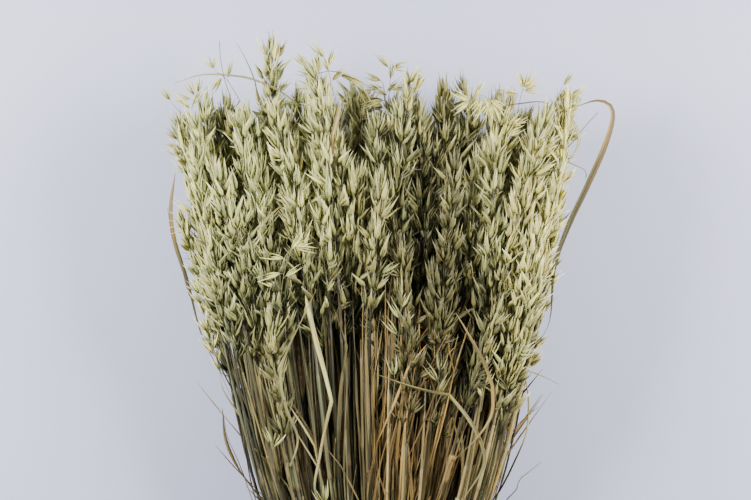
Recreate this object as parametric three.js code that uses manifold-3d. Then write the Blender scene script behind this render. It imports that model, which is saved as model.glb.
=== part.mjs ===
// A sheaf of dried oat stalks, tied with twine above its cut ends and lying on a surface.
// Units are millimetres. +X runs across the sheaf, +Y from the cut ends to the heads, +Z up from the surface.
// Each stalk is one body: a stem, the rachis that carries on from it, and the spikelets of its panicle.
import * as THREE from "three";
import { mergeVertices } from "three/addons/utils/BufferGeometryUtils.js";
import Module from "manifold-3d";

const wasm = await Module();
wasm.setup();

// Driving dimensions of the sheaf
const tieAlong = 95; // middle of the tie, from the cut ends
const stemRadius = { cutEnd: 2.5, panicleFoot: 2, tip: 1.1 };
const panicleLength = 212;
const whorls = 4; // levels at which spikelets leave the rachis, one from each of its four sides
const spikelet = { length: 37, bellyWidth: 3.3, bellyThickness: 2, bellyAt: 0.58, foot: 3 };
const topSpikelet = { length: 24, bellyRadius: 2.6, bellyAt: 0.46 }; // stands on the end of the rachis
const gap = 0.5; // least air between two pieces
const smallestDetail = 0.05; // slivers left by a cut or join are cleaned up to this size
const pressedFlat = 0.7; // how far the lowest spikelets are flattened by the surface

// How the sheaf's body changes along it: where, half width, half depth and mid height of the stalks' axes.
// Above the tie the stems spread, and the heads sag until the lowest row rests on the surface.
const fan = [
  [0, 50, 20, 27],
  [tieAlong, 40, 17, 25.8],
  [190, 86, 30, 38],
  [280, 126, 40, 49],
  [390, 157, 48, 59],
  [500, 182, 54, 64.5],
  [600, 200, 58, 68],
  [700, 206, 58, 65.5],
  [820, 204, 54, 62],
];

// The stalks stand in four rows, from the surface up. depth and spread are shares of the half depth and
// half width, and reach is how far each head's top is from the cut ends, from left to right.
const rows = [
  { depth: -0.9, spread: 0.86, reach: [690, 560, 705, 640, 725, 590, 715, 620, 700, 560, 690] },
  { depth: -0.3, spread: 1, reach: [600, 728, 690, 742, 700, 730, 745, 690, 730, 700, 735, 690, 738, 596] },
  { depth: 0.3, spread: 1, reach: [705, 738, 700, 790, 735, 690, 735, 700, 690, 745, 720, 728, 750, 740] },
  { depth: 0.9, spread: 0.84, reach: [718, 690, 505, 722, 770, 640, 758, 575, 668, 520, 700, 600] },
];

const straw = { color: 0xa9a97c, roughness: 0.75, metalness: 0 };
const dryLeaf = { color: 0xa08a58, roughness: 0.8, metalness: 0 };
const jute = { color: 0xb08d5b, roughness: 0.9, metalness: 0 };

// A repeatable number from 0 to 1 for a stalk and a purpose
function draw(stalkNumber, purpose) {
  const wave = Math.sin(stalkNumber * 12.9898 + purpose * 78.233) * 43758.5453;
  return wave - Math.floor(wave);
}

// The fan's half width, half depth or mid height at a distance from the cut ends, as a smooth curve
function fanAt(along, column) {
  const last = fan.length - 1;
  const y = Math.min(Math.max(along, fan[0][0]), fan[last][0]);
  let k = 0;
  while (k < last - 1 && y > fan[k + 1][0]) k += 1;
  const slope = (n) => {
    const before = fan[Math.max(n - 1, 0)];
    const after = fan[Math.min(n + 1, last)];
    return (after[column] - before[column]) / (after[0] - before[0]);
  };
  const span = fan[k + 1][0] - fan[k][0];
  const t = (y - fan[k][0]) / span;
  return (
    fan[k][column] * (2 * t ** 3 - 3 * t ** 2 + 1) +
    slope(k) * span * (t ** 3 - 2 * t ** 2 + t) +
    fan[k + 1][column] * (3 * t ** 2 - 2 * t ** 3) +
    slope(k + 1) * span * (t ** 3 - t ** 2)
  );
}

// A stalk's axis: points up its stem, then along its rachis, which nods a little more towards its tip
function stalkAxis(number, row, column) {
  const { depth, spread, reach } = rows[row];
  const across = spread * ((2 * column) / (reach.length - 1) - 1);
  const sway = [14 * (draw(number, 1) - 0.5), 0, 12 * (draw(number, 2) - 0.5)];
  const crown = reach[column] - topSpikelet.length;
  const foot = crown - panicleLength * (0.92 + 0.16 * draw(number, 3));
  const cut = 10 * draw(number, 4);
  const stemPoint = (y) => {
    const freedom = Math.max(0, (y - tieAlong) / 500) ** 1.5;
    return new THREE.Vector3(
      across * fanAt(y, 1) + sway[0] * freedom,
      y,
      fanAt(y, 3) + depth * fanAt(y, 2) + sway[2] * freedom,
    );
  };
  const stations = [cut, tieAlong, 150, 215, 290, 380, 480].filter((y) => y < foot - 35);
  const points = [...stations, foot].map(stemPoint);
  const footIndex = points.length - 1;
  const steps = 4;
  const length = crown - foot;
  const heading = stemPoint(foot + 1).sub(stemPoint(foot - 1)).normalize();
  const nodAcross = 0.3 * (draw(number, 5) - 0.5) + 0.06 * across;
  const nod = new THREE.Vector3(nodAcross, 0, 0.16 * (draw(number, 6) - 0.5));
  for (let k = 1; k <= steps; k += 1) {
    const direction = heading.clone().addScaledVector(nod, k / steps).normalize();
    points.push(points[points.length - 1].clone().addScaledVector(direction, length / steps));
  }
  const last = points[points.length - 1];
  const direction = last.clone().sub(points[points.length - 2]).normalize();
  const topAt = (distance) => last.clone().addScaledVector(direction, distance);
  const { length: topLength, bellyAt } = topSpikelet;
  const top = { belly: topAt(topLength * bellyAt), tip: topAt(topLength), direction };
  return { number, points, footIndex, top };
}

const stalks = [];
rows.forEach((row, r) => row.reach.forEach((reach, c) => stalks.push(stalkAxis(stalks.length + 1, r, c))));

function stalkIn(row, column) {
  return stalks[rows.slice(0, row).reduce((sum, each) => sum + each.reach.length, 0) + column];
}

function radiusAt(stalk, k) {
  const { points, footIndex } = stalk;
  if (k <= footIndex) {
    return THREE.MathUtils.lerp(stemRadius.cutEnd, stemRadius.panicleFoot, k / footIndex);
  }
  return THREE.MathUtils.lerp(
    stemRadius.panicleFoot, stemRadius.tip, (k - footIndex) / (points.length - 1 - footIndex),
  );
}

// One closed skin, built up from rings of corners
class Skin {
  positions = [];
  faces = [];

  ring(points) {
    const start = this.positions.length / 3;
    points.forEach((p) => this.positions.push(p.x, p.y, p.z));
    return points.map((_, i) => start + i);
  }

  cornersOf(ring) {
    return ring.map((i) => new THREE.Vector3().fromArray(this.positions, 3 * i));
  }

  quad(a, b, c, d) {
    this.faces.push(a, b, c, a, c, d);
  }

  tube(lower, upper, openSides = []) {
    lower.forEach((corner, i) => {
      const j = (i + 1) % lower.length;
      if (!openSides.includes(i)) this.quad(corner, lower[j], upper[j], upper[i]);
    });
  }

  // What reaches below the surface is pressed flat on it
  pressOn(level) {
    this.positions = this.positions.map((value, i) => (i % 3 === 2 ? Math.max(value, level) : value));
  }

  point(ring, tip) {
    const [end] = this.ring([tip]);
    ring.forEach((corner, i) => this.faces.push(corner, ring[(i + 1) % ring.length], end));
  }

  cap(ring) {
    for (let i = 1; i + 1 < ring.length; i += 1) this.faces.push(ring[0], ring[i], ring[i + 1]);
  }

  geometry() {
    const geometry = new THREE.BufferGeometry();
    geometry.setAttribute("position", new THREE.Float32BufferAttribute(this.positions, 3));
    geometry.setIndex(this.faces);
    return geometry;
  }
}

function tangentAt(points, k) {
  const before = points[Math.max(k - 1, 0)];
  const after = points[Math.min(k + 1, points.length - 1)];
  return after.clone().sub(before).normalize();
}

// Two directions square to a tangent, the second as near to up as it can be
function crossAxes(tangent) {
  const side = tangent.clone().cross(new THREE.Vector3(0, 0, 1)).normalize();
  return [side, side.clone().cross(tangent).normalize()];
}

function ringAround(centre, [side, rise], radius, sides, turn = 0) {
  return Array.from({ length: sides }, (_, i) => {
    const angle = turn + (i / sides) * 2 * Math.PI;
    const [out, up] = [radius * Math.cos(angle), radius * Math.sin(angle)];
    return centre.clone().addScaledVector(side, out).addScaledVector(rise, up);
  });
}

// The next ring's corners, started from the one that leaves the least twist between two rings
function leastTwist(from, corners) {
  const middleOf = (points) => {
    return points.reduce((sum, p) => sum.add(p), new THREE.Vector3()).divideScalar(points.length);
  };
  const [fromMiddle, middle] = [middleOf(from), middleOf(corners)];
  const twist = (shift) => from.reduce((sum, p, i) => {
    const other = corners[(i + shift) % corners.length].clone().sub(middle);
    return sum + p.clone().sub(fromMiddle).distanceTo(other);
  }, 0);
  const shifts = corners.map((_, shift) => shift).sort((a, b) => twist(a) - twist(b));
  return corners.map((_, i) => corners[(i + shifts[0]) % corners.length]);
}

// manifold-3d only joins and cuts. A skin whose rings ran the other way round is turned to face outwards.
function solidFrom(geometry) {
  const bare = geometry.clone();
  bare.deleteAttribute("normal");
  bare.deleteAttribute("uv");
  const merged = mergeVertices(bare, 1e-4);
  const vertProperties = new Float32Array(merged.attributes.position.array);
  const triVerts = new Uint32Array(merged.index.array);
  const solid = new wasm.Manifold(new wasm.Mesh({ numProp: 3, vertProperties, triVerts }));
  if (solid.volume() >= 0) return solid;
  for (let i = 0; i < triVerts.length; i += 3) {
    [triVerts[i + 1], triVerts[i + 2]] = [triVerts[i + 2], triVerts[i + 1]];
  }
  return new wasm.Manifold(new wasm.Mesh({ numProp: 3, vertProperties, triVerts }));
}

function geometryFrom(solid) {
  const mesh = solid.simplify(smallestDetail).getMesh();
  const geometry = new THREE.BufferGeometry();
  geometry.setAttribute("position", new THREE.BufferAttribute(Float32Array.from(mesh.vertProperties), 3));
  geometry.setIndex(new THREE.BufferAttribute(Uint32Array.from(mesh.triVerts), 1));
  geometry.computeVertexNormals();
  return geometry;
}

// Tapered rods stand for what is already placed, so that a new piece can be bent clear of it
const placed = [];

function rodsAlong(owner, points, radii) {
  return points.slice(1).map((end, k) => ({ owner, a: points[k], b: end, ra: radii[k], rb: radii[k + 1] }));
}

function airBetween(p, q) {
  const u = p.b.clone().sub(p.a);
  const v = q.b.clone().sub(q.a);
  const w = p.a.clone().sub(q.a);
  const [uu, uv, vv, uw, vw] = [u.dot(u), u.dot(v), v.dot(v), u.dot(w), v.dot(w)];
  const denominator = uu * vv - uv * uv;
  const clamp = (x) => THREE.MathUtils.clamp(x, 0, 1);
  const between = (s, t) => {
    const apart = w.clone().addScaledVector(u, s).addScaledVector(v, -t).length();
    return apart - THREE.MathUtils.lerp(p.ra, p.rb, s) - THREE.MathUtils.lerp(q.ra, q.rb, t);
  };
  let s = denominator > 1e-9 ? clamp((uv * vw - vv * uw) / denominator) : 0;
  const t = clamp((uv * s + vw) / vv);
  s = clamp((uv * t - uw) / uu);
  const ends = [0, 1].flatMap((e) => [
    between(e, clamp((uv * e + vw) / vv)),
    between(clamp((uv * e - uw) / uu), e),
  ]);
  return Math.min(between(s, t), ...ends);
}

// A spikelet may meet its own rachis, and its foot the other feet of its whorl
function isClear(rod) {
  return placed.every((other) => {
    if (other.owner === rod.owner && (other.isStem || (rod.isFoot && other.whorl === rod.whorl))) return true;
    const lengths = rod.a.distanceTo(rod.b) + other.a.distanceTo(other.b);
    if (rod.a.distanceTo(other.a) > lengths + rod.ra + rod.rb + other.ra + other.rb + gap) return true;
    return airBetween(rod, other) > gap;
  });
}

// Twine: a squarish oval band of four turns round the stalks, with a small trimmed knot on top
const twine = { thickness: 3, turns: 4, halfWidth: 47, halfDepth: 23.4, squareness: 3.3, steps: 26 };
const knot = { radius: 6, stretch: [1.25, 0.9, 0.62], across: 10 };
const looseEnd = { length: 15, radius: 1.5, droop: 1.35, turns: [0.5, -0.6], shifts: [-3, 4] };

function twineTie() {
  const { thickness, turns, halfWidth, halfDepth, squareness, steps } = twine;
  const middle = fanAt(tieAlong, 3);
  const halfBand = (turns / 2) * thickness;
  // The band's section as [out, along]: a flat inside, then one flat-topped rib for each turn
  const [valley, crest] = [0.45 * thickness, 0.96 * thickness];
  const section = [[0, halfBand - 0.2 * thickness], [0, -halfBand + 0.2 * thickness]];
  for (let turn = 0; turn < turns; turn += 1) {
    const start = turn * thickness - halfBand;
    section.push([valley, start + 0.05 * thickness]);
    section.push([crest, start + 0.3 * thickness]);
    section.push([crest, start + 0.7 * thickness]);
  }
  section.push([valley, halfBand]);
  const corner = (value) => Math.sign(value) * Math.abs(value) ** (2 / squareness);
  const rings = Array.from({ length: steps }, (_, i) => {
    const angle = ((i + 0.5) / steps) * 2 * Math.PI;
    return section.map(([out, along]) => {
      const x = (halfWidth + out) * corner(Math.cos(angle));
      const z = middle + (halfDepth + out) * corner(Math.sin(angle));
      return new THREE.Vector3(x, tieAlong + along, z);
    });
  });
  const band = new Skin();
  const made = rings.map((points) => band.ring(points));
  made.forEach((ring, k) => band.tube(ring, made[(k + 1) % made.length]));
  band.pressOn(0);
  const top = middle + halfDepth + thickness;
  const knotBall = new THREE.SphereGeometry(knot.radius, 7, 5).scale(...knot.stretch);
  knotBall.translate(knot.across, tieAlong, top);
  const tied = solidFrom(band.geometry()).add(solidFrom(knotBall));
  return looseEnd.turns.reduce((body, turn, n) => {
    const end = new THREE.CylinderGeometry(looseEnd.radius, looseEnd.radius, looseEnd.length, 5);
    end.rotateX(looseEnd.droop).rotateZ(turn);
    end.translate(knot.across + looseEnd.shifts[n], tieAlong + looseEnd.length / 2, top + looseEnd.radius);
    return body.add(solidFrom(end));
  }, tied);
}

// Dry leaves: a sheath round a stalk's stem between two distances from the cut ends, then a long blade.
// width is the blade's widest, at the share fullAt of its length. Its route is chosen by hand: each point is
// its place across from the sheaf's middle, its distance from the cut ends and its height above the surface.
const blade = { halfThickness: 0.55, tipHalfWidth: 0.9 };
const bladeRoot = { halfWidth: 1.1, halfThickness: 0.35 };
const sheath = { wall: 1.1, sides: 6, throat: 4 }; // throat: how much of the wall's top opens into the blade
const leafBlades = [
  {
    name: "leaf_right_arch", row: 2, column: 13, sheath: [420, 452], width: 9.5, fullAt: 0.42,
    route: [
      [188, 476, 85], [200, 535, 91], [217, 581, 91], [234, 622, 93],
      [248, 664, 94], [257, 696, 95], [253, 712, 96], [238, 717, 96], [218, 711, 95],
    ],
  },
  {
    name: "leaf_left_edge", row: 1, column: 0, sheath: [342, 373], width: 5, fullAt: 0.3,
    route: [
      [-172, 410, 44], [-196, 460, 46], [-212, 520, 47], [-226, 565, 50],
      [-230, 600, 51], [-225, 640, 52],
    ],
  },
  {
    name: "leaf_lower_left", row: 2, column: 0, sheath: [222, 250], width: 6, fullAt: 0.35,
    route: [[-118, 268, 65], [-138, 292, 68], [-156, 318, 69], [-168, 346, 68], [-172, 380, 68]],
  },
  {
    name: "leaf_lower_right", row: 2, column: 13, sheath: [222, 250], width: 7, fullAt: 0.4,
    route: [
      [117, 262, 65], [136, 290, 68], [152, 322, 70], [164, 352, 70],
      [167, 385, 67], [161, 424, 65],
    ],
  },
  {
    name: "leaf_across_front", row: 3, column: 10, sheath: [252, 282], width: 7.5, fullAt: 0.55,
    route: [
      [114, 318, 113], [112, 345, 119], [98, 372, 124], [80, 398, 129],
      [58, 404, 132], [30, 410, 134], [-16, 426, 133],
    ],
  },
  {
    name: "leaf_front_right", row: 3, column: 9, sheath: [300, 330], width: 7, fullAt: 0.45,
    route: [
      [100, 352, 123], [122, 378, 132], [124, 408, 136], [112, 436, 138],
      [98, 462, 138], [82, 490, 138],
    ],
  },
  {
    name: "leaf_pale_folded", row: 3, column: 3, sheath: [236, 266], width: 8, fullAt: 0.75,
    route: [
      [-64, 292, 110], [-60, 330, 116], [-54, 366, 122], [-50, 391, 127],
      [-58, 425, 129], [-66, 460, 132], [-76, 500, 134],
    ],
  },
  {
    name: "leaf_front_left", row: 3, column: 2, sheath: [292, 322], width: 6.5, fullAt: 0.5,
    route: [
      [-86, 350, 119], [-98, 384, 125], [-104, 420, 130], [-94, 452, 136],
      [-80, 482, 141], [-66, 512, 145],
    ],
  },
];

// The stem's centre and radius where it crosses a distance from the cut ends
function stemAt(stalk, along) {
  const k = stalk.points.findIndex((p, n) => n > 0 && p.y >= along);
  const [before, after] = [stalk.points[k - 1], stalk.points[k]];
  const t = (along - before.y) / (after.y - before.y);
  return {
    centre: before.clone().lerp(after, t),
    direction: after.clone().sub(before).normalize(),
    radius: THREE.MathUtils.lerp(radiusAt(stalk, k - 1), radiusAt(stalk, k), t),
  };
}

function leafBody(leaf) {
  const stalk = stalkIn(leaf.row, leaf.column);
  const bore = (station) => (station.radius + gap) / Math.cos(Math.PI / sheath.sides);
  const low = stemAt(stalk, leaf.sheath[0]);
  const high = stemAt(stalk, leaf.sheath[1]);
  const throat = stemAt(stalk, leaf.sheath[1] - sheath.throat);

  // One corner of the sheath's wall faces the blade's first point, so that the side before it can open there
  const toward = new THREE.Vector3(...leaf.route[0]).sub(high.centre);
  const [across, rise] = crossAxes(high.direction);
  const bearing = Math.atan2(toward.dot(rise), toward.dot(across));
  const turn = bearing - Math.PI / sheath.sides;
  const skin = new Skin();
  const wallRing = (station, extra) => {
    const axes = crossAxes(station.direction);
    return skin.ring(ringAround(station.centre, axes, bore(station) + extra, sheath.sides, turn));
  };
  const [outLow, outThroat, outHigh] = [low, throat, high].map((station) => wallRing(station, sheath.wall));
  const [inLow, inHigh] = [low, high].map((station) => wallRing(station, 0));
  skin.tube(outLow, outThroat);
  skin.tube(outThroat, outHigh, [0]);
  skin.tube(outHigh, inHigh);
  skin.tube(inHigh, inLow);
  skin.tube(inLow, outLow);

  // The blade is raised from the opened side of the wall
  const outward = across.multiplyScalar(Math.cos(bearing)).addScaledVector(rise, Math.sin(bearing));
  const root = high.centre.clone().addScaledVector(outward, bore(high) + 2 * sheath.wall);
  const points = [root, ...leaf.route.map((p) => new THREE.Vector3(...p))];
  const halfWidths = points.map((_, k) => {
    if (k === 0) return bladeRoot.halfWidth;
    const t = k / (points.length - 1);
    const swell = t < leaf.fullAt ? t / leaf.fullAt : (1 - t) / (1 - leaf.fullAt);
    return Math.max(blade.tipHalfWidth, (leaf.width / 2) * Math.sin((Math.PI / 2) * swell ** 0.8));
  });
  let below = [outThroat[0], outThroat[1], outHigh[1], outHigh[0]];
  points.forEach((p, k) => {
    const axes = crossAxes(tangentAt(points, k));
    const half = k === 0 ? bladeRoot.halfThickness : blade.halfThickness;
    const corners = [
      p.clone().addScaledVector(axes[0], halfWidths[k]),
      p.clone().addScaledVector(axes[1], half),
      p.clone().addScaledVector(axes[0], -halfWidths[k]),
      p.clone().addScaledVector(axes[1], -half),
    ];
    const ring = skin.ring(leastTwist(skin.cornersOf(below), corners));
    skin.tube(below, ring);
    below = ring;
  });
  skin.cap(below);
  placed.push(...rodsAlong(leaf.name, points, halfWidths));
  const collarRadii = [low, high].map((station) => bore(station) + sheath.wall);
  placed.push(...rodsAlong(leaf.name, [low.centre, high.centre], collarRadii));
  return solidFrom(skin.geometry());
}

// One stalk: a four-sided stem and rachis in one skin. At each whorl a short stretch of the rachis opens on
// its four sides, and a spikelet is raised from each: a thin foot, a flattened belly and a point. It is
// turned, drawn in or shortened until it is clear of every other stalk, leaf and spikelet.
const sides = 4;
const spray = {
  leans: [0.6, 0.34], // radians from the rachis, at the lowest whorl and at the tip
  leanDraw: 0.22,
  lengths: [1.12, 0.86], // shares of the spikelet's length, at the lowest whorl and at the tip
  lengthDraw: [0.74, 0.46], // the least share, and the draw above it
  swings: [0, 0.35, -0.35, 0.7, -0.7], // radians round the rachis, tried in turn
  drawnIn: [1, 0.8, 0.62], // shares of the lean, tried in turn
  along: [0.03, 0.8], // where the first whorl stands on the rachis, and the share that the whorls span
};

function pointAlong(points, from, distance) {
  let left = distance;
  let k = from;
  while (k + 2 < points.length && left > points[k].distanceTo(points[k + 1])) {
    left -= points[k].distanceTo(points[k + 1]);
    k += 1;
  }
  const direction = points[k + 1].clone().sub(points[k]).normalize();
  return { centre: points[k].clone().addScaledVector(direction, left), direction };
}

function spikeletPlan(stalk, whorl, side, root, heading, faceTurn) {
  const { number } = stalk;
  const salt = 10 * whorl + side;
  const climb = whorl / (whorls - 1);
  const { lerp } = THREE.MathUtils;
  const lean = lerp(...spray.leans, climb) + spray.leanDraw * (draw(number, 20 + salt) - 0.5);
  const drawn = spray.lengthDraw[0] + spray.lengthDraw[1] * draw(number, 80 + salt);
  const length = spikelet.length * lerp(...spray.lengths, climb) * drawn;
  const [across, rise] = crossAxes(heading);
  for (const drawnIn of spray.drawnIn) {
    for (const swing of spray.swings) {
      const angle = faceTurn + swing + 0.5 * (draw(number, 140 + salt) - 0.5);
      const outward = across.clone().multiplyScalar(Math.cos(angle)).addScaledVector(rise, Math.sin(angle));
      const direction = heading.clone().multiplyScalar(Math.cos(lean * drawnIn));
      direction.addScaledVector(outward, Math.sin(lean * drawnIn)).normalize();
      const reach = length * (0.6 + 0.4 * drawnIn);
      const belly = root.clone().addScaledVector(direction, reach * spikelet.bellyAt);
      const tip = root.clone().addScaledVector(direction, reach);
      const rods = rodsAlong(number, [root, belly, tip], [stemRadius.panicleFoot, spikelet.bellyWidth, 0.3]);
      rods.forEach((rod) => Object.assign(rod, { whorl, isFoot: rod.a === root }));
      const low = Math.min(belly.z - spikelet.bellyThickness, tip.z);
      if (low > -pressedFlat && rods.every(isClear)) return { rods, belly, tip, direction, outward };
    }
  }
  return null;
}

// The belly's four corners, in the order in which the foot's corners open towards it
function bellyCorners(plan, width, thickness) {
  const { belly, direction, outward } = plan;
  const broad = outward.clone().cross(direction).normalize();
  const keel = direction.clone().cross(broad).normalize();
  return [
    belly.clone().addScaledVector(keel, thickness),
    belly.clone().addScaledVector(broad, width),
    belly.clone().addScaledVector(keel, -thickness),
    belly.clone().addScaledVector(broad, -width),
  ];
}

function stalkBody(stalk) {
  const { number, points, footIndex } = stalk;
  const skin = new Skin();
  const turn = 2 * Math.PI * draw(number, 7);
  const stemRings = points.slice(0, footIndex + 1).map((p, k) => {
    return skin.ring(ringAround(p, crossAxes(tangentAt(points, k)), radiusAt(stalk, k), sides, turn));
  });
  skin.cap([...stemRings[0]].reverse());
  stemRings.slice(1).forEach((ring, k) => skin.tube(stemRings[k], ring));

  const rachis = points.slice(footIndex);
  const length = rachis.slice(1).reduce((sum, p, k) => sum + p.distanceTo(rachis[k]), 0);
  let below = stemRings[footIndex];
  for (let whorl = 0; whorl < whorls; whorl += 1) {
    const start = length * (spray.along[0] + (spray.along[1] * whorl) / (whorls - 1));
    const thick = THREE.MathUtils.lerp(stemRadius.panicleFoot, stemRadius.tip, start / length);
    const [lower, upper] = [start, start + spikelet.foot].map((distance) => pointAlong(rachis, 0, distance));
    const [lowRing, highRing] = [lower, upper].map((at) =>
      skin.ring(ringAround(at.centre, crossAxes(at.direction), thick, sides, turn)),
    );
    skin.tube(below, lowRing);
    const opened = [];
    for (let side = 0; side < sides; side += 1) {
      const faceTurn = turn + ((side + 0.5) / sides) * 2 * Math.PI;
      const [across, rise] = crossAxes(lower.direction);
      const root = lower.centre.clone().lerp(upper.centre, 0.5);
      const face = thick * Math.cos(Math.PI / sides);
      root.addScaledVector(across, face * Math.cos(faceTurn));
      root.addScaledVector(rise, face * Math.sin(faceTurn));
      const plan = spikeletPlan(stalk, whorl, side, root, lower.direction, faceTurn);
      if (plan) {
        placed.push(...plan.rods);
        opened.push(side);
        const next = (side + 1) % sides;
        const foot = [lowRing[side], lowRing[next], highRing[next], highRing[side]];
        const belly = skin.ring(bellyCorners(plan, spikelet.bellyWidth, spikelet.bellyThickness));
        skin.tube(foot, belly);
        skin.point(belly, plan.tip);
      }
    }
    skin.tube(lowRing, highRing, opened);
    below = highRing;
  }
  const crown = rachis[rachis.length - 1];
  const axes = crossAxes(stalk.top.direction);
  const top = skin.ring(ringAround(crown, axes, stemRadius.tip, sides, turn));
  const belly = skin.ring(ringAround(stalk.top.belly, axes, topSpikelet.bellyRadius, sides, turn));
  skin.tube(below, top);
  skin.tube(top, belly);
  skin.point(belly, stalk.top.tip);
  skin.pressOn(0);
  return solidFrom(skin.geometry());
}

stalks.forEach((stalk) => {
  const { number, points, top } = stalk;
  const rods = rodsAlong(number, points, points.map((_, k) => radiusAt(stalk, k)));
  const topPoints = [points[points.length - 1], top.belly, top.tip];
  rods.push(...rodsAlong(number, topPoints, [stemRadius.tip, topSpikelet.bellyRadius, 0.3]));
  placed.push(...rods.map((rod) => ({ ...rod, isStem: true })));
});

const bodies = [["twine_tie", twineTie(), jute]];
leafBlades.forEach((leaf) => bodies.push([leaf.name, leafBody(leaf), dryLeaf]));
stalks.forEach((stalk) => {
  bodies.push([`stalk_${String(stalk.number).padStart(2, "0")}`, stalkBody(stalk), straw]);
});

// The origin is under the middle of the whole sheaf, on the surface
const sheaf = new THREE.Group();
bodies.forEach(([name, solid, finish]) => {
  const mesh = new THREE.Mesh(geometryFrom(solid), new THREE.MeshStandardMaterial(finish));
  mesh.name = name;
  sheaf.add(mesh);
});
const extent = new THREE.Box3().setFromObject(sheaf, true);
const centre = extent.getCenter(new THREE.Vector3());
sheaf.position.set(-centre.x, -centre.y, -extent.min.z);

export default sheaf;
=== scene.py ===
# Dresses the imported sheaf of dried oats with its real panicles, stems, leaves and twine.
# Layout numbers are millimetres, counted as the solids' are; a mesh is turned to metres as it is finished.
import math
import bpy
import numpy as np
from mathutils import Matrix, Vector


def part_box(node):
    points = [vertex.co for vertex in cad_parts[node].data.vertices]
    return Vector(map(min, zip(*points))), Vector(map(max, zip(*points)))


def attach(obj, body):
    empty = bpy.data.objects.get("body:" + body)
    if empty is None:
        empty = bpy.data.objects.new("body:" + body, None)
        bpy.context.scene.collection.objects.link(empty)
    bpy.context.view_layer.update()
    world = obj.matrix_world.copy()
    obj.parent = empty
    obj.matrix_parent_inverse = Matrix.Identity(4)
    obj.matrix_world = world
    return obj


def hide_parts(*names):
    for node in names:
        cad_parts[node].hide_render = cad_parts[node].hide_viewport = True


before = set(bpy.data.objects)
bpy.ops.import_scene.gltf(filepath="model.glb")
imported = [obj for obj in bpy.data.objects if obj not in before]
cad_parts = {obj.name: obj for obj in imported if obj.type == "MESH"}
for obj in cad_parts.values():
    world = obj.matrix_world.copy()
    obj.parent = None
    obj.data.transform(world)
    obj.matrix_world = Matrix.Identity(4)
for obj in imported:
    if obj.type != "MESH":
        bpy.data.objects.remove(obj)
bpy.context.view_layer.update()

# How the sheaf is laid out: the same values as the solids have
sheaf = {
    "tieAlong": 95,  # middle of the tie, from the cut ends
    "tieHalfBand": 5.85,  # from there to the tie's lower edge
    "stemRadius": (2.5, 2.0, 1.1),  # at the cut end, the panicle's foot and the rachis' tip
    "panicleLength": 212,
    "topSpikelet": 24,
    "fan": [  # where, half width, half depth and mid height of the stalks' axes
        (0, 50, 20, 27),
        (95, 40, 17, 25.8),
        (190, 86, 30, 38),
        (280, 126, 40, 49),
        (390, 157, 48, 59),
        (500, 182, 54, 64.5),
        (600, 200, 58, 68),
        (700, 206, 58, 65.5),
        (820, 204, 54, 62),
    ],
    "rows": [  # depth, spread, and how far each head reaches, from left to right
        (-0.9, 0.86, (690, 560, 705, 640, 725, 590, 715, 620, 700, 560, 690)),
        (-0.3, 1, (600, 728, 690, 742, 700, 730, 745, 690, 730, 700, 735, 690, 738, 596)),
        (0.3, 1, (705, 738, 700, 790, 735, 690, 735, 700, 690, 745, 720, 728, 750, 740)),
        (0.9, 0.84, (718, 690, 505, 722, 770, 640, 758, 575, 668, 520, 700, 600)),
    ],
    "aside": {42: -22},  # how far a stalk's stem is bowed aside by its panicle's foot
}

# The tie stands even about the sheaf's middle, so it tells where the solids' layout lies in the frame
tieLow, tieHigh = (np.array(corner) * 1000 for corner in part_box("twine_tie"))
shift = np.array([
    (tieLow[0] + tieHigh[0]) / 2,
    tieLow[1] - (sheaf["tieAlong"] - sheaf["tieHalfBand"]),
    0.0,
])


def draw(number, purpose):  # the solids' repeatable number from 0 to 1 for a stalk and a purpose
    wave = math.sin(number * 12.9898 + purpose * 78.233) * 43758.5453
    return wave - math.floor(wave)


def fanAt(along, column):
    fan = sheaf["fan"]
    last = len(fan) - 1
    y = min(max(along, fan[0][0]), fan[last][0])
    k = 0
    while k < last - 1 and y > fan[k + 1][0]:
        k += 1

    def slope(n):
        before, after = fan[max(n - 1, 0)], fan[min(n + 1, last)]
        return (after[column] - before[column]) / (after[0] - before[0])

    span = fan[k + 1][0] - fan[k][0]
    t = (y - fan[k][0]) / span
    return (
        fan[k][column] * (2 * t**3 - 3 * t**2 + 1)
        + slope(k) * span * (t**3 - 2 * t**2 + t)
        + fan[k + 1][column] * (3 * t**2 - 2 * t**3)
        + slope(k + 1) * span * (t**3 - t**2)
    )


def stemPoint(across, depth, sway, y):
    freedom = max(0.0, (y - sheaf["tieAlong"]) / 500) ** 1.5
    return np.array([
        across * fanAt(y, 1) + sway[0] * freedom,
        y,
        fanAt(y, 3) + depth * fanAt(y, 2) + sway[1] * freedom,
    ])


def unit(v):
    return v / np.linalg.norm(v, axis=-1, keepdims=True)


def smoothPath(points, count):  # a smooth curve through the points, with even steps
    points = np.asarray(points, float)
    padded = np.vstack([2 * points[0] - points[1], points, 2 * points[-1] - points[-2]])
    fine = []
    for k in range(1, len(padded) - 2):
        p0, p1, p2, p3 = padded[k - 1:k + 3]
        for t in np.linspace(0, 1, 12, endpoint=False):
            bend = (2 * p0 - 5 * p1 + 4 * p2 - p3) * t**2 + (3 * p1 - 3 * p2 + p3 - p0) * t**3
            fine.append(0.5 * (2 * p1 + (p2 - p0) * t + bend))
    fine.append(points[-1])
    return evenPath(np.array(fine), count)


def lengthsAlong(path):
    return np.concatenate([[0], np.cumsum(np.linalg.norm(np.diff(path, axis=0), axis=1))])


def evenPath(path, count):
    lengths = lengthsAlong(path)
    at = np.linspace(0, lengths[-1], count)
    return np.stack([np.interp(at, lengths, path[:, axis]) for axis in range(3)], axis=1)


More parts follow.
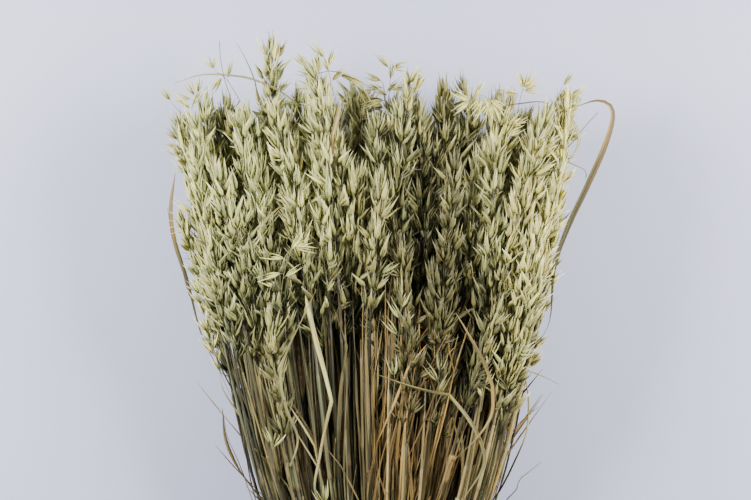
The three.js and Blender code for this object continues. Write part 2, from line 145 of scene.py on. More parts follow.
def alongPath(path, distance):  # the point and the heading at a distance along a path
    lengths = lengthsAlong(path)
    tangents = unit(np.gradient(path, axis=0))
    point = np.array([np.interp(distance, lengths, path[:, axis]) for axis in range(3)])
    heading = np.array([np.interp(distance, lengths, tangents[:, axis]) for axis in range(3)])
    return point, unit(heading)


def crossAxes(tangents):  # two directions square to each tangent, the second as near to up as it can be
    side = unit(np.cross(tangents, [0, 0, 1.0]))
    return side, np.cross(side, tangents)


def stalkAxis(number, row, column):
    depth, spread, reach = sheaf["rows"][row]
    across = spread * ((2 * column) / (len(reach) - 1) - 1)
    sway = (14 * (draw(number, 1) - 0.5), 12 * (draw(number, 2) - 0.5))
    crown = reach[column] - sheaf["topSpikelet"]
    foot = crown - sheaf["panicleLength"] * (0.92 + 0.16 * draw(number, 3))
    cut = 10 * draw(number, 4)
    stem = np.array([stemPoint(across, depth, sway, y) for y in np.linspace(cut, foot, 40)])
    stem[:, 0] += sheaf["aside"].get(number, 0) * np.linspace(0, 1, len(stem)) ** 2
    heading = unit(stemPoint(across, depth, sway, foot + 1) - stemPoint(across, depth, sway, foot - 1))
    nod = np.array([0.3 * (draw(number, 5) - 0.5) + 0.06 * across, 0, 0.16 * (draw(number, 6) - 0.5)])
    rachis = [stem[-1]]
    for k in range(1, 5):
        rachis.append(rachis[-1] + unit(heading + nod * k / 4) * (crown - foot) / 4)
    return {
        "number": number,
        "across": across,
        "fullness": (0.8, 0.7, 0.95, 0.95)[row],
        "form": ("plain", "spare", "fine", "fine")[row],
        # painted shade: the heads of the lower rows, deeper in the sheaf, are toned darker
        "shade": (0.25, 0.18, 0.04, 0.0)[row],
        "stem": stem,
        "rachis": smoothPath(rachis, 26),
    }


stalks = []
for rowNumber, (_, _, reaches) in enumerate(sheaf["rows"]):
    for columnNumber in range(len(reaches)):
        stalks.append(stalkAxis(len(stalks) + 1, rowNumber, columnNumber))

# Camera, floor and light
camera = {
    "pixel": 1.1,  # millimetres of the sheaf to one pixel of the picture
    "frame": (751, 500),
    "zero": (378, 500),  # the pixel over the sheaf's middle, and the picture's lower edge
    "lowerEdge": 279,  # how far that edge lies from the cut ends
    "distance": 2600,
    "midHeight": 75,
}

studio = {
    "floorSize": 24.0,
    "floorColour": (0.43, 0.455, 0.61),
    "world": (0.80, 0.86, 1.0),
    "worldStrength": 0.4,
    "lamps": {  # name: place, size and power in watts, colour
        "lamp_left": ((-1.35, 0.55, 0.95), 0.8, 84, (1.0, 0.985, 0.95)),
        "lamp_right": ((1.4, 0.5, 0.95), 0.8, 89, (1.0, 0.975, 0.93)),
    },
}


def addCamera():
    width, height = camera["frame"]
    data = bpy.data.cameras.new("overhead")
    data.lens = 36 * camera["distance"] / (width * camera["pixel"])
    data.clip_end = 30
    eye = bpy.data.objects.new("overhead", data)
    centreX = (width / 2 - camera["zero"][0]) * camera["pixel"] + shift[0]
    centreY = (camera["zero"][1] - height / 2) * camera["pixel"] + camera["lowerEdge"] + shift[1]
    eye.location = np.array([centreX, centreY, camera["midHeight"] + camera["distance"]]) / 1000
    bpy.context.scene.collection.objects.link(eye)
    bpy.context.scene.camera = eye


def addLamps():
    for name, (place, size, power, colour) in studio["lamps"].items():
        data = bpy.data.lights.new(name, "AREA")
        data.size = size
        data.energy = power
        data.color = colour
        lamp = bpy.data.objects.new(name, data)
        lamp.location = place
        aim = np.array([0, 0.1, 0.05]) - np.array(place)
        yaw = math.atan2(aim[1], aim[0])
        pitch = math.atan2(math.hypot(aim[0], aim[1]), -aim[2])
        lamp.rotation_euler = (0, -pitch, yaw)
        bpy.context.scene.collection.objects.link(lamp)


def addWorld():
    world = bpy.data.worlds.new("studio")
    world.use_nodes = True
    background = world.node_tree.nodes["Background"]
    background.inputs["Color"].default_value = (*studio["world"], 1)
    background.inputs["Strength"].default_value = studio["worldStrength"]
    bpy.context.scene.world = world


addCamera()
addLamps()
addWorld()
print("camera and light set")


# Shader groups

def newGroup(name, inputs, outputs):  # inputs: name, socket type, default value
    group = bpy.data.node_groups.new(name, "ShaderNodeTree")
    for label, kind, value in inputs:
        socket = group.interface.new_socket(name=label, in_out="INPUT", socket_type="NodeSocket" + kind)
        if value is not None:
            socket.default_value = value
    for label, kind in outputs:
        group.interface.new_socket(name=label, in_out="OUTPUT", socket_type="NodeSocket" + kind)
    entry = group.nodes.new("NodeGroupInput")
    leave = group.nodes.new("NodeGroupOutput")
    return group, entry.outputs, leave.inputs


def mathNode(tree, operation, a, b=None, clamp=False):
    node = tree.nodes.new("ShaderNodeMath")
    node.operation = operation
    node.use_clamp = clamp
    for socket, value in zip(node.inputs, (a, b)):
        setSocket(tree, socket, value)
    return node.outputs[0]


def setSocket(tree, socket, value):
    if isinstance(value, bpy.types.NodeSocket):
        tree.links.new(value, socket)
    elif value is not None:
        socket.default_value = value


def mixColour(tree, factor, a, b, blend="MIX"):
    node = tree.nodes.new("ShaderNodeMix")
    node.data_type = "RGBA"
    node.blend_type = blend
    setSocket(tree, node.inputs["Factor"], factor)
    setSocket(tree, node.inputs[6], a)
    setSocket(tree, node.inputs[7], b)
    return node.outputs[2]


def remap(tree, value, low, high, toLow, toHigh):
    node = tree.nodes.new("ShaderNodeMapRange")
    for socket, amount in zip(node.inputs[:5], (value, low, high, toLow, toHigh)):
        setSocket(tree, socket, amount)
    return node.outputs[0]


def noiseOn(tree, vector, scale, detail=2.0, roughness=0.55):
    node = tree.nodes.new("ShaderNodeTexNoise")
    setSocket(tree, node.inputs["Vector"], vector)
    setSocket(tree, node.inputs["Scale"], scale)
    node.inputs["Detail"].default_value = detail
    node.inputs["Roughness"].default_value = roughness
    return node.outputs["Fac"]


def splitVector(tree, vector):
    node = tree.nodes.new("ShaderNodeSeparateXYZ")
    tree.links.new(vector, node.inputs[0])
    return node.outputs


def joinVector(tree, x, y, z):
    node = tree.nodes.new("ShaderNodeCombineXYZ")
    for socket, value in zip(node.inputs, (x, y, z)):
        setSocket(tree, socket, value)
    return node.outputs[0]


def makeFibreGroup():  # fine lengthwise streaks that follow a piece's own grain
    group, entry, leave = newGroup(
        "Fibre Streaks",
        [
            ("Grain", "Vector", None),
            ("Across", "Float", 2.0),
            ("Along", "Float", 0.06),
            ("Contrast", "Float", 1.0),
        ],
        [("Mask", "Float")],
    )
    x, y, seed = splitVector(group, entry["Grain"])
    across = mathNode(group, "MULTIPLY", x, entry["Across"])
    along = mathNode(group, "MULTIPLY", y, entry["Along"])
    place = joinVector(group, across, along, mathNode(group, "MULTIPLY", seed, 37.0))
    streaks = noiseOn(group, place, 1.0, 3.0)
    spread = mathNode(group, "MULTIPLY", mathNode(group, "SUBTRACT", streaks, 0.5), entry["Contrast"])
    widened = mathNode(group, "MULTIPLY", spread, 2.2)
    group.links.new(mathNode(group, "ADD", widened, 0.5, True), leave["Mask"])
    return group


def makeRibGroup():  # raised ribs, as the veins of a glume or a leaf
    group, entry, leave = newGroup(
        "Lengthwise Ribs",
        [("Grain", "Vector", None), ("Spacing", "Float", 0.7)],
        [("Height", "Float")],
    )
    x, y, seed = splitVector(group, entry["Grain"])
    slow = mathNode(group, "MULTIPLY", y, 0.05)
    bends = noiseOn(group, joinVector(group, seed, slow, 0.0), 3.0)
    wander = mathNode(group, "MULTIPLY", bends, 0.5)
    turns = mathNode(group, "DIVIDE", mathNode(group, "ADD", x, wander), entry["Spacing"])
    wave = mathNode(group, "SINE", mathNode(group, "MULTIPLY", turns, 2 * math.pi))
    group.links.new(remap(group, wave, -1.0, 1.0, 0.0, 1.0), leave["Height"])
    return group


def makeMottleGroup():  # the patchy fading of dried plants
    group, entry, leave = newGroup(
        "Dried Mottle",
        [
            ("Fresh", "Color", (0.4, 0.4, 0.25, 1)),
            ("Aged", "Color", (0.5, 0.4, 0.2, 1)),
            ("Age", "Float", 0.5),
            ("Grain", "Vector", None),
            ("Patch", "Float", 0.05),
            ("Amount", "Float", 0.6),
        ],
        [("Color", "Color"), ("Patches", "Float")],
    )
    x, y, seed = splitVector(group, entry["Grain"])
    place = joinVector(
        group,
        mathNode(group, "MULTIPLY", x, mathNode(group, "MULTIPLY", entry["Patch"], 3.0)),
        mathNode(group, "MULTIPLY", y, entry["Patch"]),
        mathNode(group, "MULTIPLY", seed, 19.0),
    )
    patches = remap(group, noiseOn(group, place, 1.0, 3.0, 0.6), 0.3, 0.7, -1.0, 1.0)
    age = mathNode(group, "ADD", entry["Age"], mathNode(group, "MULTIPLY", patches, entry["Amount"]), True)
    group.links.new(mixColour(group, age, entry["Fresh"], entry["Aged"]), leave["Color"])
    group.links.new(patches, leave["Patches"])
    return group


groups = {"fibre": makeFibreGroup(), "rib": makeRibGroup(), "mottle": makeMottleGroup()}


# Materials

# Colours are linear; fresh and aged are the ends between which a piece's age mixes. patches is how close and
# how strong the faded patches are. fibre is how dense the streaks are across and along, and how strong.
# streakTone and pieceTone are the darkest and lightest that streaks and pieces come to, and bump is its
# distance and strength.
finishes = {
    "chaff": {
        "fresh": (0.41, 0.44, 0.165),
        "aged": (0.72, 0.63, 0.195),
        "tip": (0.95, 0.92, 0.49),
        # base: a darker, greener foot to each spikelet, partly its own colour and partly painted shade
        # between the spikelets
        "base": (0.26, 0.28, 0.09),
        "patches": (0.09, 0.22),
        "fibre": (1.6, 0.05, 0.8),
        "streakTone": (0.78, 1.16),
        "pieceTone": (0.15, 1.15),
        "ribSpacing": 0.62,
        "roughness": (0.52, 0.36),
        "bump": (0.00022, 0.55),
    },
    "culm": {
        "fresh": (0.19, 0.205, 0.11),
        "aged": (0.33, 0.25, 0.10),
        "node": (0.16, 0.095, 0.045),
        "patches": (0.02, 0.3),
        "fibre": (0.75, 0.015, 1.3),
        "streakTone": (0.55, 1.35),
        "pieceTone": (0.16, 1.3),
        "roughness": (0.5, 0.28),
        "bump": (0.0005, 0.8),
    },
    "blade": {
        "fresh": (0.29, 0.30, 0.12),
        "aged": (0.40, 0.25, 0.063),
        "edge": (0.15, 0.085, 0.035),
        "patches": (0.03, 0.4),
        "fibre": (0.45, 0.012, 1.7),
        "streakTone": (0.45, 1.45),
        "ribTone": (0.75, 1.12),
        "pieceTone": (0.3, 2.2, 1.6),
        "ribSpacing": 0.75,
        "roughness": (0.66, 0.48),
        "bump": (0.0003, 0.7),
    },
    "jute": {
        "fresh": (0.40, 0.27, 0.13),
        "aged": (0.52, 0.38, 0.21),
        # shade: the colour of the painted shade in the groove between the plies
        "shade": (0.14, 0.085, 0.04),
        "patches": (0.2, 0.5),
        "fibre": (4.0, 0.5, 1.2),
        "streakTone": (0.6, 1.25),
        "pieceTone": (0.85, 1.15),
        "roughness": (0.9, 0.75),
        "bump": (0.0004, 0.8),
    },
}


class MaterialMaker:
    def __init__(self, name):
        self.material = bpy.data.materials.new(name)
        self.material.use_nodes = True
        self.tree = self.material.node_tree
        self.shader = self.tree.nodes["Principled BSDF"]

    def attribute(self, name):
        node = self.tree.nodes.new("ShaderNodeAttribute")
        node.attribute_name = name
        return node

    def group(self, key, **values):
        node = self.tree.nodes.new("ShaderNodeGroup")
        node.node_tree = groups[key]
        for label, value in values.items():
            setSocket(self.tree, node.inputs[label], value)
        return node.outputs

    def finish(self, colour, roughness, height, distance, strength=0.5):
        setSocket(self.tree, self.shader.inputs["Base Color"], colour)
        setSocket(self.tree, self.shader.inputs["Roughness"], roughness)
        bump = self.tree.nodes.new("ShaderNodeBump")
        bump.inputs["Strength"].default_value = strength
        bump.inputs["Distance"].default_value = distance
        setSocket(self.tree, bump.inputs["Height"], height)
        self.tree.links.new(bump.outputs["Normal"], self.shader.inputs["Normal"])
        self.shader.inputs["Specular IOR Level"].default_value = 0.35
        return self.material


def opaque(colour):
    return (*colour, 1)


def toned(tree, colour, tone, low, high, most=1.0):  # lighter or darker from piece to piece
    grey = remap(tree, tone, 0.0, most, low, high)
    return mixColour(tree, 1.0, colour, joinVector(tree, grey, grey, grey), "MULTIPLY")


def startMaterial(name, look):  # what the four share: faded patches, and fine streaks along the grain
    maker = MaterialMaker(name)
    grain = maker.attribute("grain").outputs["Vector"]
    tint = splitVector(maker.tree, maker.attribute("tint").outputs["Vector"])
    patch, amount = look["patches"]
    mottle = maker.group(
        "mottle", Fresh=opaque(look["fresh"]), Aged=opaque(look["aged"]), Age=tint[1], Grain=grain,
        Patch=patch, Amount=amount,
    )
    across, along, contrast = look["fibre"]
    streaks = maker.group("fibre", Grain=grain, Across=across, Along=along, Contrast=contrast)["Mask"]
    return maker, grain, tint, mottle["Color"], streaks


def chaffMaterial():
    look = finishes["chaff"]
    maker, grain, (tone, _, tip), colour, streaks = startMaterial("oat_chaff", look)
    tree = maker.tree
    # The spikelet's foot darker and greener: partly its own colour, partly painted shade between the
    # spikelets
    colour = mixColour(tree, remap(tree, tip, 0.0, 0.22, 0.8, 0.0), colour, opaque(look["base"]))
    colour = mixColour(tree, remap(tree, tip, 0.45, 1.0, 0.0, 0.9), colour, opaque(look["tip"]))
    colour = toned(tree, colour, streaks, *look["streakTone"])
    colour = toned(tree, colour, tone, *look["pieceTone"])
    ribs = maker.group("rib", Grain=grain, Spacing=look["ribSpacing"])["Height"]
    height = mathNode(tree, "ADD", ribs, mathNode(tree, "MULTIPLY", streaks, 0.6))
    return maker.finish(colour, remap(tree, streaks, 0.0, 1.0, *look["roughness"]), height, *look["bump"])


def culmMaterial():
    look = finishes["culm"]
    maker, _, (tone, _, node), colour, streaks = startMaterial("oat_straw", look)
    tree = maker.tree
    colour = toned(tree, colour, streaks, *look["streakTone"])
    colour = toned(tree, colour, tone, *look["pieceTone"])
    colour = mixColour(tree, mathNode(tree, "MULTIPLY", node, 0.85), colour, opaque(look["node"]))
    return maker.finish(colour, remap(tree, streaks, 0.0, 1.0, *look["roughness"]), streaks, *look["bump"])


def bladeMaterial():
    look = finishes["blade"]
    maker, grain, (tone, _, edge), colour, streaks = startMaterial("oat_leaf", look)
    tree = maker.tree
    ribs = maker.group("rib", Grain=grain, Spacing=look["ribSpacing"])["Height"]
    colour = toned(tree, colour, streaks, *look["streakTone"])
    colour = toned(tree, colour, ribs, *look["ribTone"])
    colour = toned(tree, colour, tone, *look["pieceTone"])
    colour = mixColour(tree, mathNode(tree, "MULTIPLY", edge, 0.55), colour, opaque(look["edge"]))
    height = mathNode(tree, "ADD", ribs, streaks)
    return maker.finish(colour, remap(tree, streaks, 0.0, 1.0, *look["roughness"]), height, *look["bump"])


def juteMaterial():
    look = finishes["jute"]
    maker, _, (tone, _, inner), colour, streaks = startMaterial("jute_twine", look)
    tree = maker.tree
    colour = toned(tree, colour, streaks, *look["streakTone"])
    colour = toned(tree, colour, tone, *look["pieceTone"])
    # Painted shade on each ply where it faces the other, in the groove between them
    colour = mixColour(tree, mathNode(tree, "MULTIPLY", inner, 0.7), colour, opaque(look["shade"]))
    return maker.finish(colour, remap(tree, streaks, 0.0, 1.0, *look["roughness"]), streaks, *look["bump"])


def floorMaterial():
    maker = MaterialMaker("studio_floor")
    tree = maker.tree
    place = tree.nodes.new("ShaderNodeTexCoord").outputs["Object"]
    cloud = noiseOn(tree, place, 1.3, 2.0)
    speck = noiseOn(tree, place, 240.0, 2.0)
    broad = mathNode(tree, "MULTIPLY", cloud, 0.7)
    fine = mathNode(tree, "MULTIPLY", speck, 0.3)
    shade = mathNode(tree, "ADD", broad, fine)
    colour = toned(tree, opaque(studio["floorColour"]), shade, 0.97, 1.03)
    return maker.finish(colour, 0.7, speck, 0.0001, 0.1)


chaff = chaffMaterial()
culm = culmMaterial()
bladeSkin = bladeMaterial()
jute = juteMaterial()
floorSkin = floorMaterial()
print("materials made")


def addFloor():
    half = studio["floorSize"] / 2
    mesh = bpy.data.meshes.new("floor")
    corners = [(-half, -half, 0), (half, -half, 0), (half, half, 0), (-half, half, 0)]
    mesh.from_pydata(corners, [], [(0, 1, 2, 3)])
    mesh.materials.append(floorSkin)
    floor = bpy.data.objects.new("floor", mesh)
    bpy.context.scene.collection.objects.link(floor)


addFloor()


# Mesh making. A heap gathers closed bodies, with each corner's grain (across, along, seed) and tint.

rest = {"soften": 8.0, "twineSoften": 1.2}  # heights under which a piece is pressed together by the surface
crest = (138.0, 15.0)  # above the first the highest spikelets lie closer, within the second


def newHeap():
    return {"verts": [], "grain": [], "tint": [], 4: [], 3: [], "slots4": [], "slots3": [], "count": 0}


def pile(heap, verts, faces, grain, tint, slot):  # faces: arrays of four or three corners each
    verts = np.reshape(verts, (-1, 3))
    for each in faces:
        corners = each.shape[-1]
        each = np.reshape(each, (-1, corners))
        heap[corners].append(each + heap["count"])
        heap[f"slots{corners}"].append(np.full(len(each), slot))
    heap["verts"].append(verts)
    heap["grain"].append(np.reshape(grain, (-1, 3)))
    heap["tint"].append(np.reshape(tint, (-1, 3)))
    heap["count"] += len(verts)


def finishPiece(name, heap, materials, replaced=(), soften=rest["soften"]):
    verts = np.vstack(heap["verts"])
    low = verts[:, 2] < soften
    verts[low, 2] = soften * np.exp((verts[low, 2] - soften) / soften)
    high = verts[:, 2] > crest[0]
    verts[high, 2] = crest[0] + crest[1] * (1 - np.exp((crest[0] - verts[high, 2]) / crest[1]))
    verts = (verts + shift) / 1000
    quads = np.vstack(heap[4]) if heap[4] else np.zeros((0, 4), int)
    tris = np.vstack(heap[3]) if heap[3] else np.zeros((0, 3), int)
    corners = np.concatenate([quads.ravel(), tris.ravel()]).astype(np.int32)
    starts = np.concatenate([np.arange(len(quads)) * 4, len(quads) * 4 + np.arange(len(tris)) * 3])
    slots = np.concatenate(heap["slots4"] + heap["slots3"])
    mesh = bpy.data.meshes.new(name)
    mesh.vertices.add(len(verts))
    mesh.vertices.foreach_set("co", verts.astype(np.float32).ravel())
    mesh.loops.add(len(corners))
    mesh.loops.foreach_set("vertex_index", corners)
    mesh.polygons.add(len(starts))
    mesh.polygons.foreach_set("loop_start", starts.astype(np.int32))
    mesh.update(calc_edges=True)
    mesh.polygons.foreach_set("use_smooth", np.ones(len(starts), bool))
    mesh.polygons.foreach_set("material_index", slots.astype(np.int32))
    for label in ("grain", "tint"):
        layer = mesh.attributes.new(label, "FLOAT_VECTOR", "POINT")
        layer.data.foreach_set("vector", np.vstack(heap[label]).astype(np.float32).ravel())
    for material in materials:
        mesh.materials.append(material)
    piece = bpy.data.objects.new(name, mesh)
    bpy.context.scene.collection.objects.link(piece)
    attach(piece, "root")
    if replaced:
        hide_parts(*replaced)


def gridFaces(rings, sides):  # the faces between rings whose corners run the way that crossAxes gives
    i = np.arange(rings - 1)[:, None] * sides
    j = np.arange(sides)[None, :]
    k = (j + 1) % sides
    return np.stack([i + j, i + sides + j, i + sides + k, i + k], axis=-1).reshape(-1, 4)


def endFaces(rings, sides):  # fans that close both ends, on two centre corners that follow the rings
    j = np.arange(sides)
    k = (j + 1) % sides
    top = (rings - 1) * sides
    first = np.stack([np.full(sides, rings * sides), j, k], axis=-1)
    last = np.stack([np.full(sides, rings * sides + 1), top + k, top + j], axis=-1)
    return np.vstack([first, last])


def spokes(turn, side, rise):  # the ways out from each ring's middle to its corners
    return np.cos(turn)[None, :, None] * side[:, None] + np.sin(turn)[None, :, None] * rise[:, None]


# Rings of corners, closed at the path's two ends, whose middles take one corner's grain and tint
def pileRings(heap, verts, path, grain, tint, slot, corner=0):
    rings, sides = verts.shape[:2]
    verts = np.vstack([verts.reshape(-1, 3), path[:1], path[-1:]])
    grain = np.vstack([grain.reshape(-1, 3), grain[0, corner], grain[-1, corner]])
    tint = np.vstack([tint.reshape(-1, 3), tint[0, corner], tint[-1, corner]])
    pile(heap, verts, [gridFaces(rings, sides), endFaces(rings, sides)], grain, tint, slot)


def pileTube(heap, path, radii, sides, tint, slot, seed):
    rings = len(path)
    side, rise = crossAxes(unit(np.gradient(path, axis=0)))
    turn = 2 * math.pi * np.arange(sides) / sides
    radii = np.broadcast_to(radii, rings)
    verts = path[:, None] + spokes(turn, side, rise) * radii[:, None, None]
    along = lengthsAlong(path)
    grain = np.zeros((rings, sides, 3))
    grain[..., 0] = np.abs(turn - math.pi)[None] * radii[:, None]
    grain[..., 1] = along[:, None]
    grain[..., 2] = seed
    tint = np.broadcast_to(tint, (rings, 3))
    tints = np.broadcast_to(tint[:, None], (rings, sides, 3))
    pileRings(heap, verts, path, grain, tints, slot)


# Spikelets: two boat-shaped glumes that stand open round a floret, on a thin pedicel

spikelet = {
    "length": (21.0, 28.5),
    "halfWidth": (1.95, 2.75),
    "shut": (0.03, 0.12),  # radians from the middle to one glume
    "open": (0.16, 0.4),
    "openShare": 0.38,
    "bulge": 0.045,  # how far a glume bows out, as a share of its length
    "keel": 0.85,  # its depth to its half width
    "floretLength": 0.7,
    "floretRadius": 0.75,
    "pedicelRadius": 0.28,
}

# A glume's section from edge to edge round its keel, and its rings: place along it and share of its width.
# The heads on top have the fine one, those inside the sheaf the spare one.
glumeForms = {
    "fine": (
        ((-1, 0), (-0.45, 0.85), (0.45, 0.85), (1, 0)),
        ((0.07, 0.55), (0.24, 1.0), (0.48, 0.76), (0.7, 0.3)),
    ),
    "plain": (((-1, 0), (-0.45, 0.85), (0.45, 0.85), (1, 0)), ((0.09, 0.6), (0.28, 1.0), (0.62, 0.46))),
    "spare": (((-1, 0), (0, 1), (1, 0)), ((0.09, 0.6), (0.28, 1.0), (0.62, 0.46))),
}


def ringTemplate(section, rings):  # across, along and out for each corner, and the faces
    corners = []
    for along, width in rings:
        corners += [(across * width, along, out * width) for across, out in section]
    corners += [(0, 0, 0), (0, 1, 0)]
    counts = (len(rings), len(section))
    return np.array(corners, float), gridFaces(*counts), endFaces(*counts)


glumeShapes = {form: ringTemplate(*values) for form, values in glumeForms.items()}
floretShape = ringTemplate(((1, 0), (0, 1), (-1, 0), (0, -1)), ((0.4, 1.0),))


def copiesOf(faces, cornerCount, copies):
    steps = np.arange(copies)[:, None, None] * cornerCount
    return (faces[None] + steps).reshape(-1, faces.shape[-1])


def pileSpikelets(heap, form, bases, headings, broads, sizes, widths, openings, tones, ages, seeds):
    outs = np.cross(headings, broads)
    count = len(bases)
    for way in (1, -1):
        shape, quads, tris = glumeShapes[form]
        a = openings[:, None]
        heading = np.cos(a) * headings + way * np.sin(a) * outs
        out = way * np.cos(a) * outs - np.sin(a) * headings
        broad = way * broads
        u, t, v = shape[:, 0], shape[:, 1], shape[:, 2]
        bow = spikelet["bulge"] * sizes[:, None] * np.sin(math.pi * np.minimum(t * 1.15, 1.0))[None]
        lift = widths[:, None] * spikelet["keel"] * v[None] + bow
        verts = (
            bases[:, None]
            + heading[:, None] * (sizes[:, None] * t[None])[..., None]
            + broad[:, None] * (widths[:, None] * u[None])[..., None]
            + out[:, None] * lift[..., None]
        )
        grain = np.zeros((count, len(shape), 3))
        grain[..., 0] = widths[:, None] * u[None] * 1.3
        grain[..., 1] = sizes[:, None] * t[None]
        grain[..., 2] = seeds[:, None] + 0.3 * way
        tint = np.zeros((count, len(shape), 3))
        tint[..., 0] = (tones + 0.06 * way)[:, None]
        tint[..., 1] = ages[:, None]
        tint[..., 2] = t[None]
        faces = [copiesOf(quads, len(shape), count), copiesOf(tris, len(shape), count)]
        pile(heap, verts, faces, grain, tint, 0)
    shape, quads, tris = floretShape
    u, t, v = shape[:, 0], shape[:, 1], shape[:, 2]
    radius = widths * spikelet["floretRadius"]
    verts = (
        bases[:, None]
        + headings[:, None] * (sizes[:, None] * spikelet["floretLength"] * t[None])[..., None]
        + broads[:, None] * (radius[:, None] * u[None])[..., None]
        + outs[:, None] * (radius[:, None] * v[None])[..., None]
    )
    grain = np.zeros((count, len(shape), 3))
    grain[..., 0] = radius[:, None] * u[None]
    grain[..., 1] = sizes[:, None] * t[None]
    grain[..., 2] = seeds[:, None]
    tint = np.zeros((count, len(shape), 3))
    tint[..., 0] = tones[:, None] - 0.15
    tint[..., 1] = ages[:, None] + 0.1
    tint[..., 2] = 0.75 * t[None]
    pile(heap, verts, [copiesOf(tris, len(shape), count)], grain, tint, 0)


def pilePedicels(heap, starts, ends, tones, ages, seeds):  # three-sided, closed
    ways = unit(ends - starts)
    side, rise = crossAxes(ways)
    turn = 2 * math.pi * np.arange(3) / 3
    ring = spokes(turn, side, rise) * spikelet["pedicelRadius"]
    verts = np.concatenate([starts[:, None] + ring, ends[:, None] + ring], axis=1)
    count = len(starts)
    grain = np.zeros((count, 6, 3))
    grain[:, 3:, 1] = np.linalg.norm(ends - starts, axis=1)[:, None]
    grain[..., 2] = seeds[:, None]
    tint = np.zeros((count, 6, 3))
    tint[..., 0] = tones[:, None]
    tint[..., 1] = ages[:, None]
    caps = np.array([[0, 1, 2], [5, 4, 3]])
    pile(heap, verts, [copiesOf(gridFaces(2, 3), 6, count), copiesOf(caps, 6, count)], grain, tint, 1)


# Panicles: whorls of branches on the rachis, each with spikelets on pedicels

panicle = {
    "whorls": (0.0, 0.1, 0.21, 0.32, 0.43, 0.54, 0.64, 0.74, 0.83, 0.91),  # shares of the rachis
    "branches": (3, 4, 5, 5, 4, 4, 4, 4, 3, 3),
    "length": (68, 22),  # a branch's length at the lowest and the highest whorl
    "lean": (0.38, 0.32),  # radians from the rachis at its root
    "straighten": 0.85,  # share of the lean that it loses by its end
    "radius": (0.5, 0.28),
    "step": 16.0,  # between two spikelets on a branch
    "pedicel": (3.5, 8.0),
    "flatness": 0.85,  # a head's depth to its width
    "edge": (0.72, 1.0, 0.5),  # heads slim down between two places across the sheaf, to the last share
    "headNoise": (0.11, 0.12),  # how much heads differ in age and tone
    "grainNoise": (0.16, 0.2),  # how much the spikelets of one head differ in tone and age
}

# Heads with a habit of their own, by stalk. bend is where along the head its branches start to hang over, and
# which way. lean is how far its tip stands aside, and from is the share at its foot that stays bare. slim and
# full are shares of its width and of its spikelets. tone and age are added to its own.
habits = {
    12: {"from": 0.2, "tone": 0.2, "lean": (-20, 8, 22)},
    13: {"lean": (30, 4, 25), "tone": 0.15},
    14: {"lean": (0, 26, 38), "tone": 0.15},
    18: {"bend": (0.78, (-1.1, 0.1, 0.3))},
    25: {"lean": (-24, 0, 0), "slim": 0.7, "tone": 0.25, "from": 0.15},
    26: {"lean": (20, 0, 0), "slim": 0.85},
    27: {"lean": (26, 0, 0)},
    28: {"lean": (-8, 16, 0)},
    32: {"bend": (0.8, (0.9, 0.2, 0.2)), "full": 0.8},
    36: {"bend": (0.72, (0.6, -0.9, 0.75))},
    38: {"bend": (0.84, (0.8, -0.1, 0.2)), "lean": (-6, 0, 0), "slim": 0.75},
    39: {"lean": (-14, 0, 0), "slim": 0.75},
    40: {"from": 0.12, "lean": (6, 0, 0)},
    41: {"lean": (-12, 22, 0)},
    42: {"slim": 0.5, "full": 0.85, "tone": 0.2, "lean": (14, 0, 0), "from": 0.26},
    45: {"full": 0.8, "slim": 0.85, "tone": -0.12, "from": 0.3},
    46: {"bend": (0.8, (1.3, 0.1, 0.3)), "full": 0.8},
    47: {"slim": 0.8, "full": 0.7, "age": 0.15},
    48: {"slim": 0.8, "full": 0.7, "age": 0.1},
    49: {"slim": 0.7, "full": 0.6, "from": 0.4, "tone": 0.15},
    50: {"bend": (0.66, (-0.25, -1.1, 0.5))},
    51: {"tone": 0.2},
}


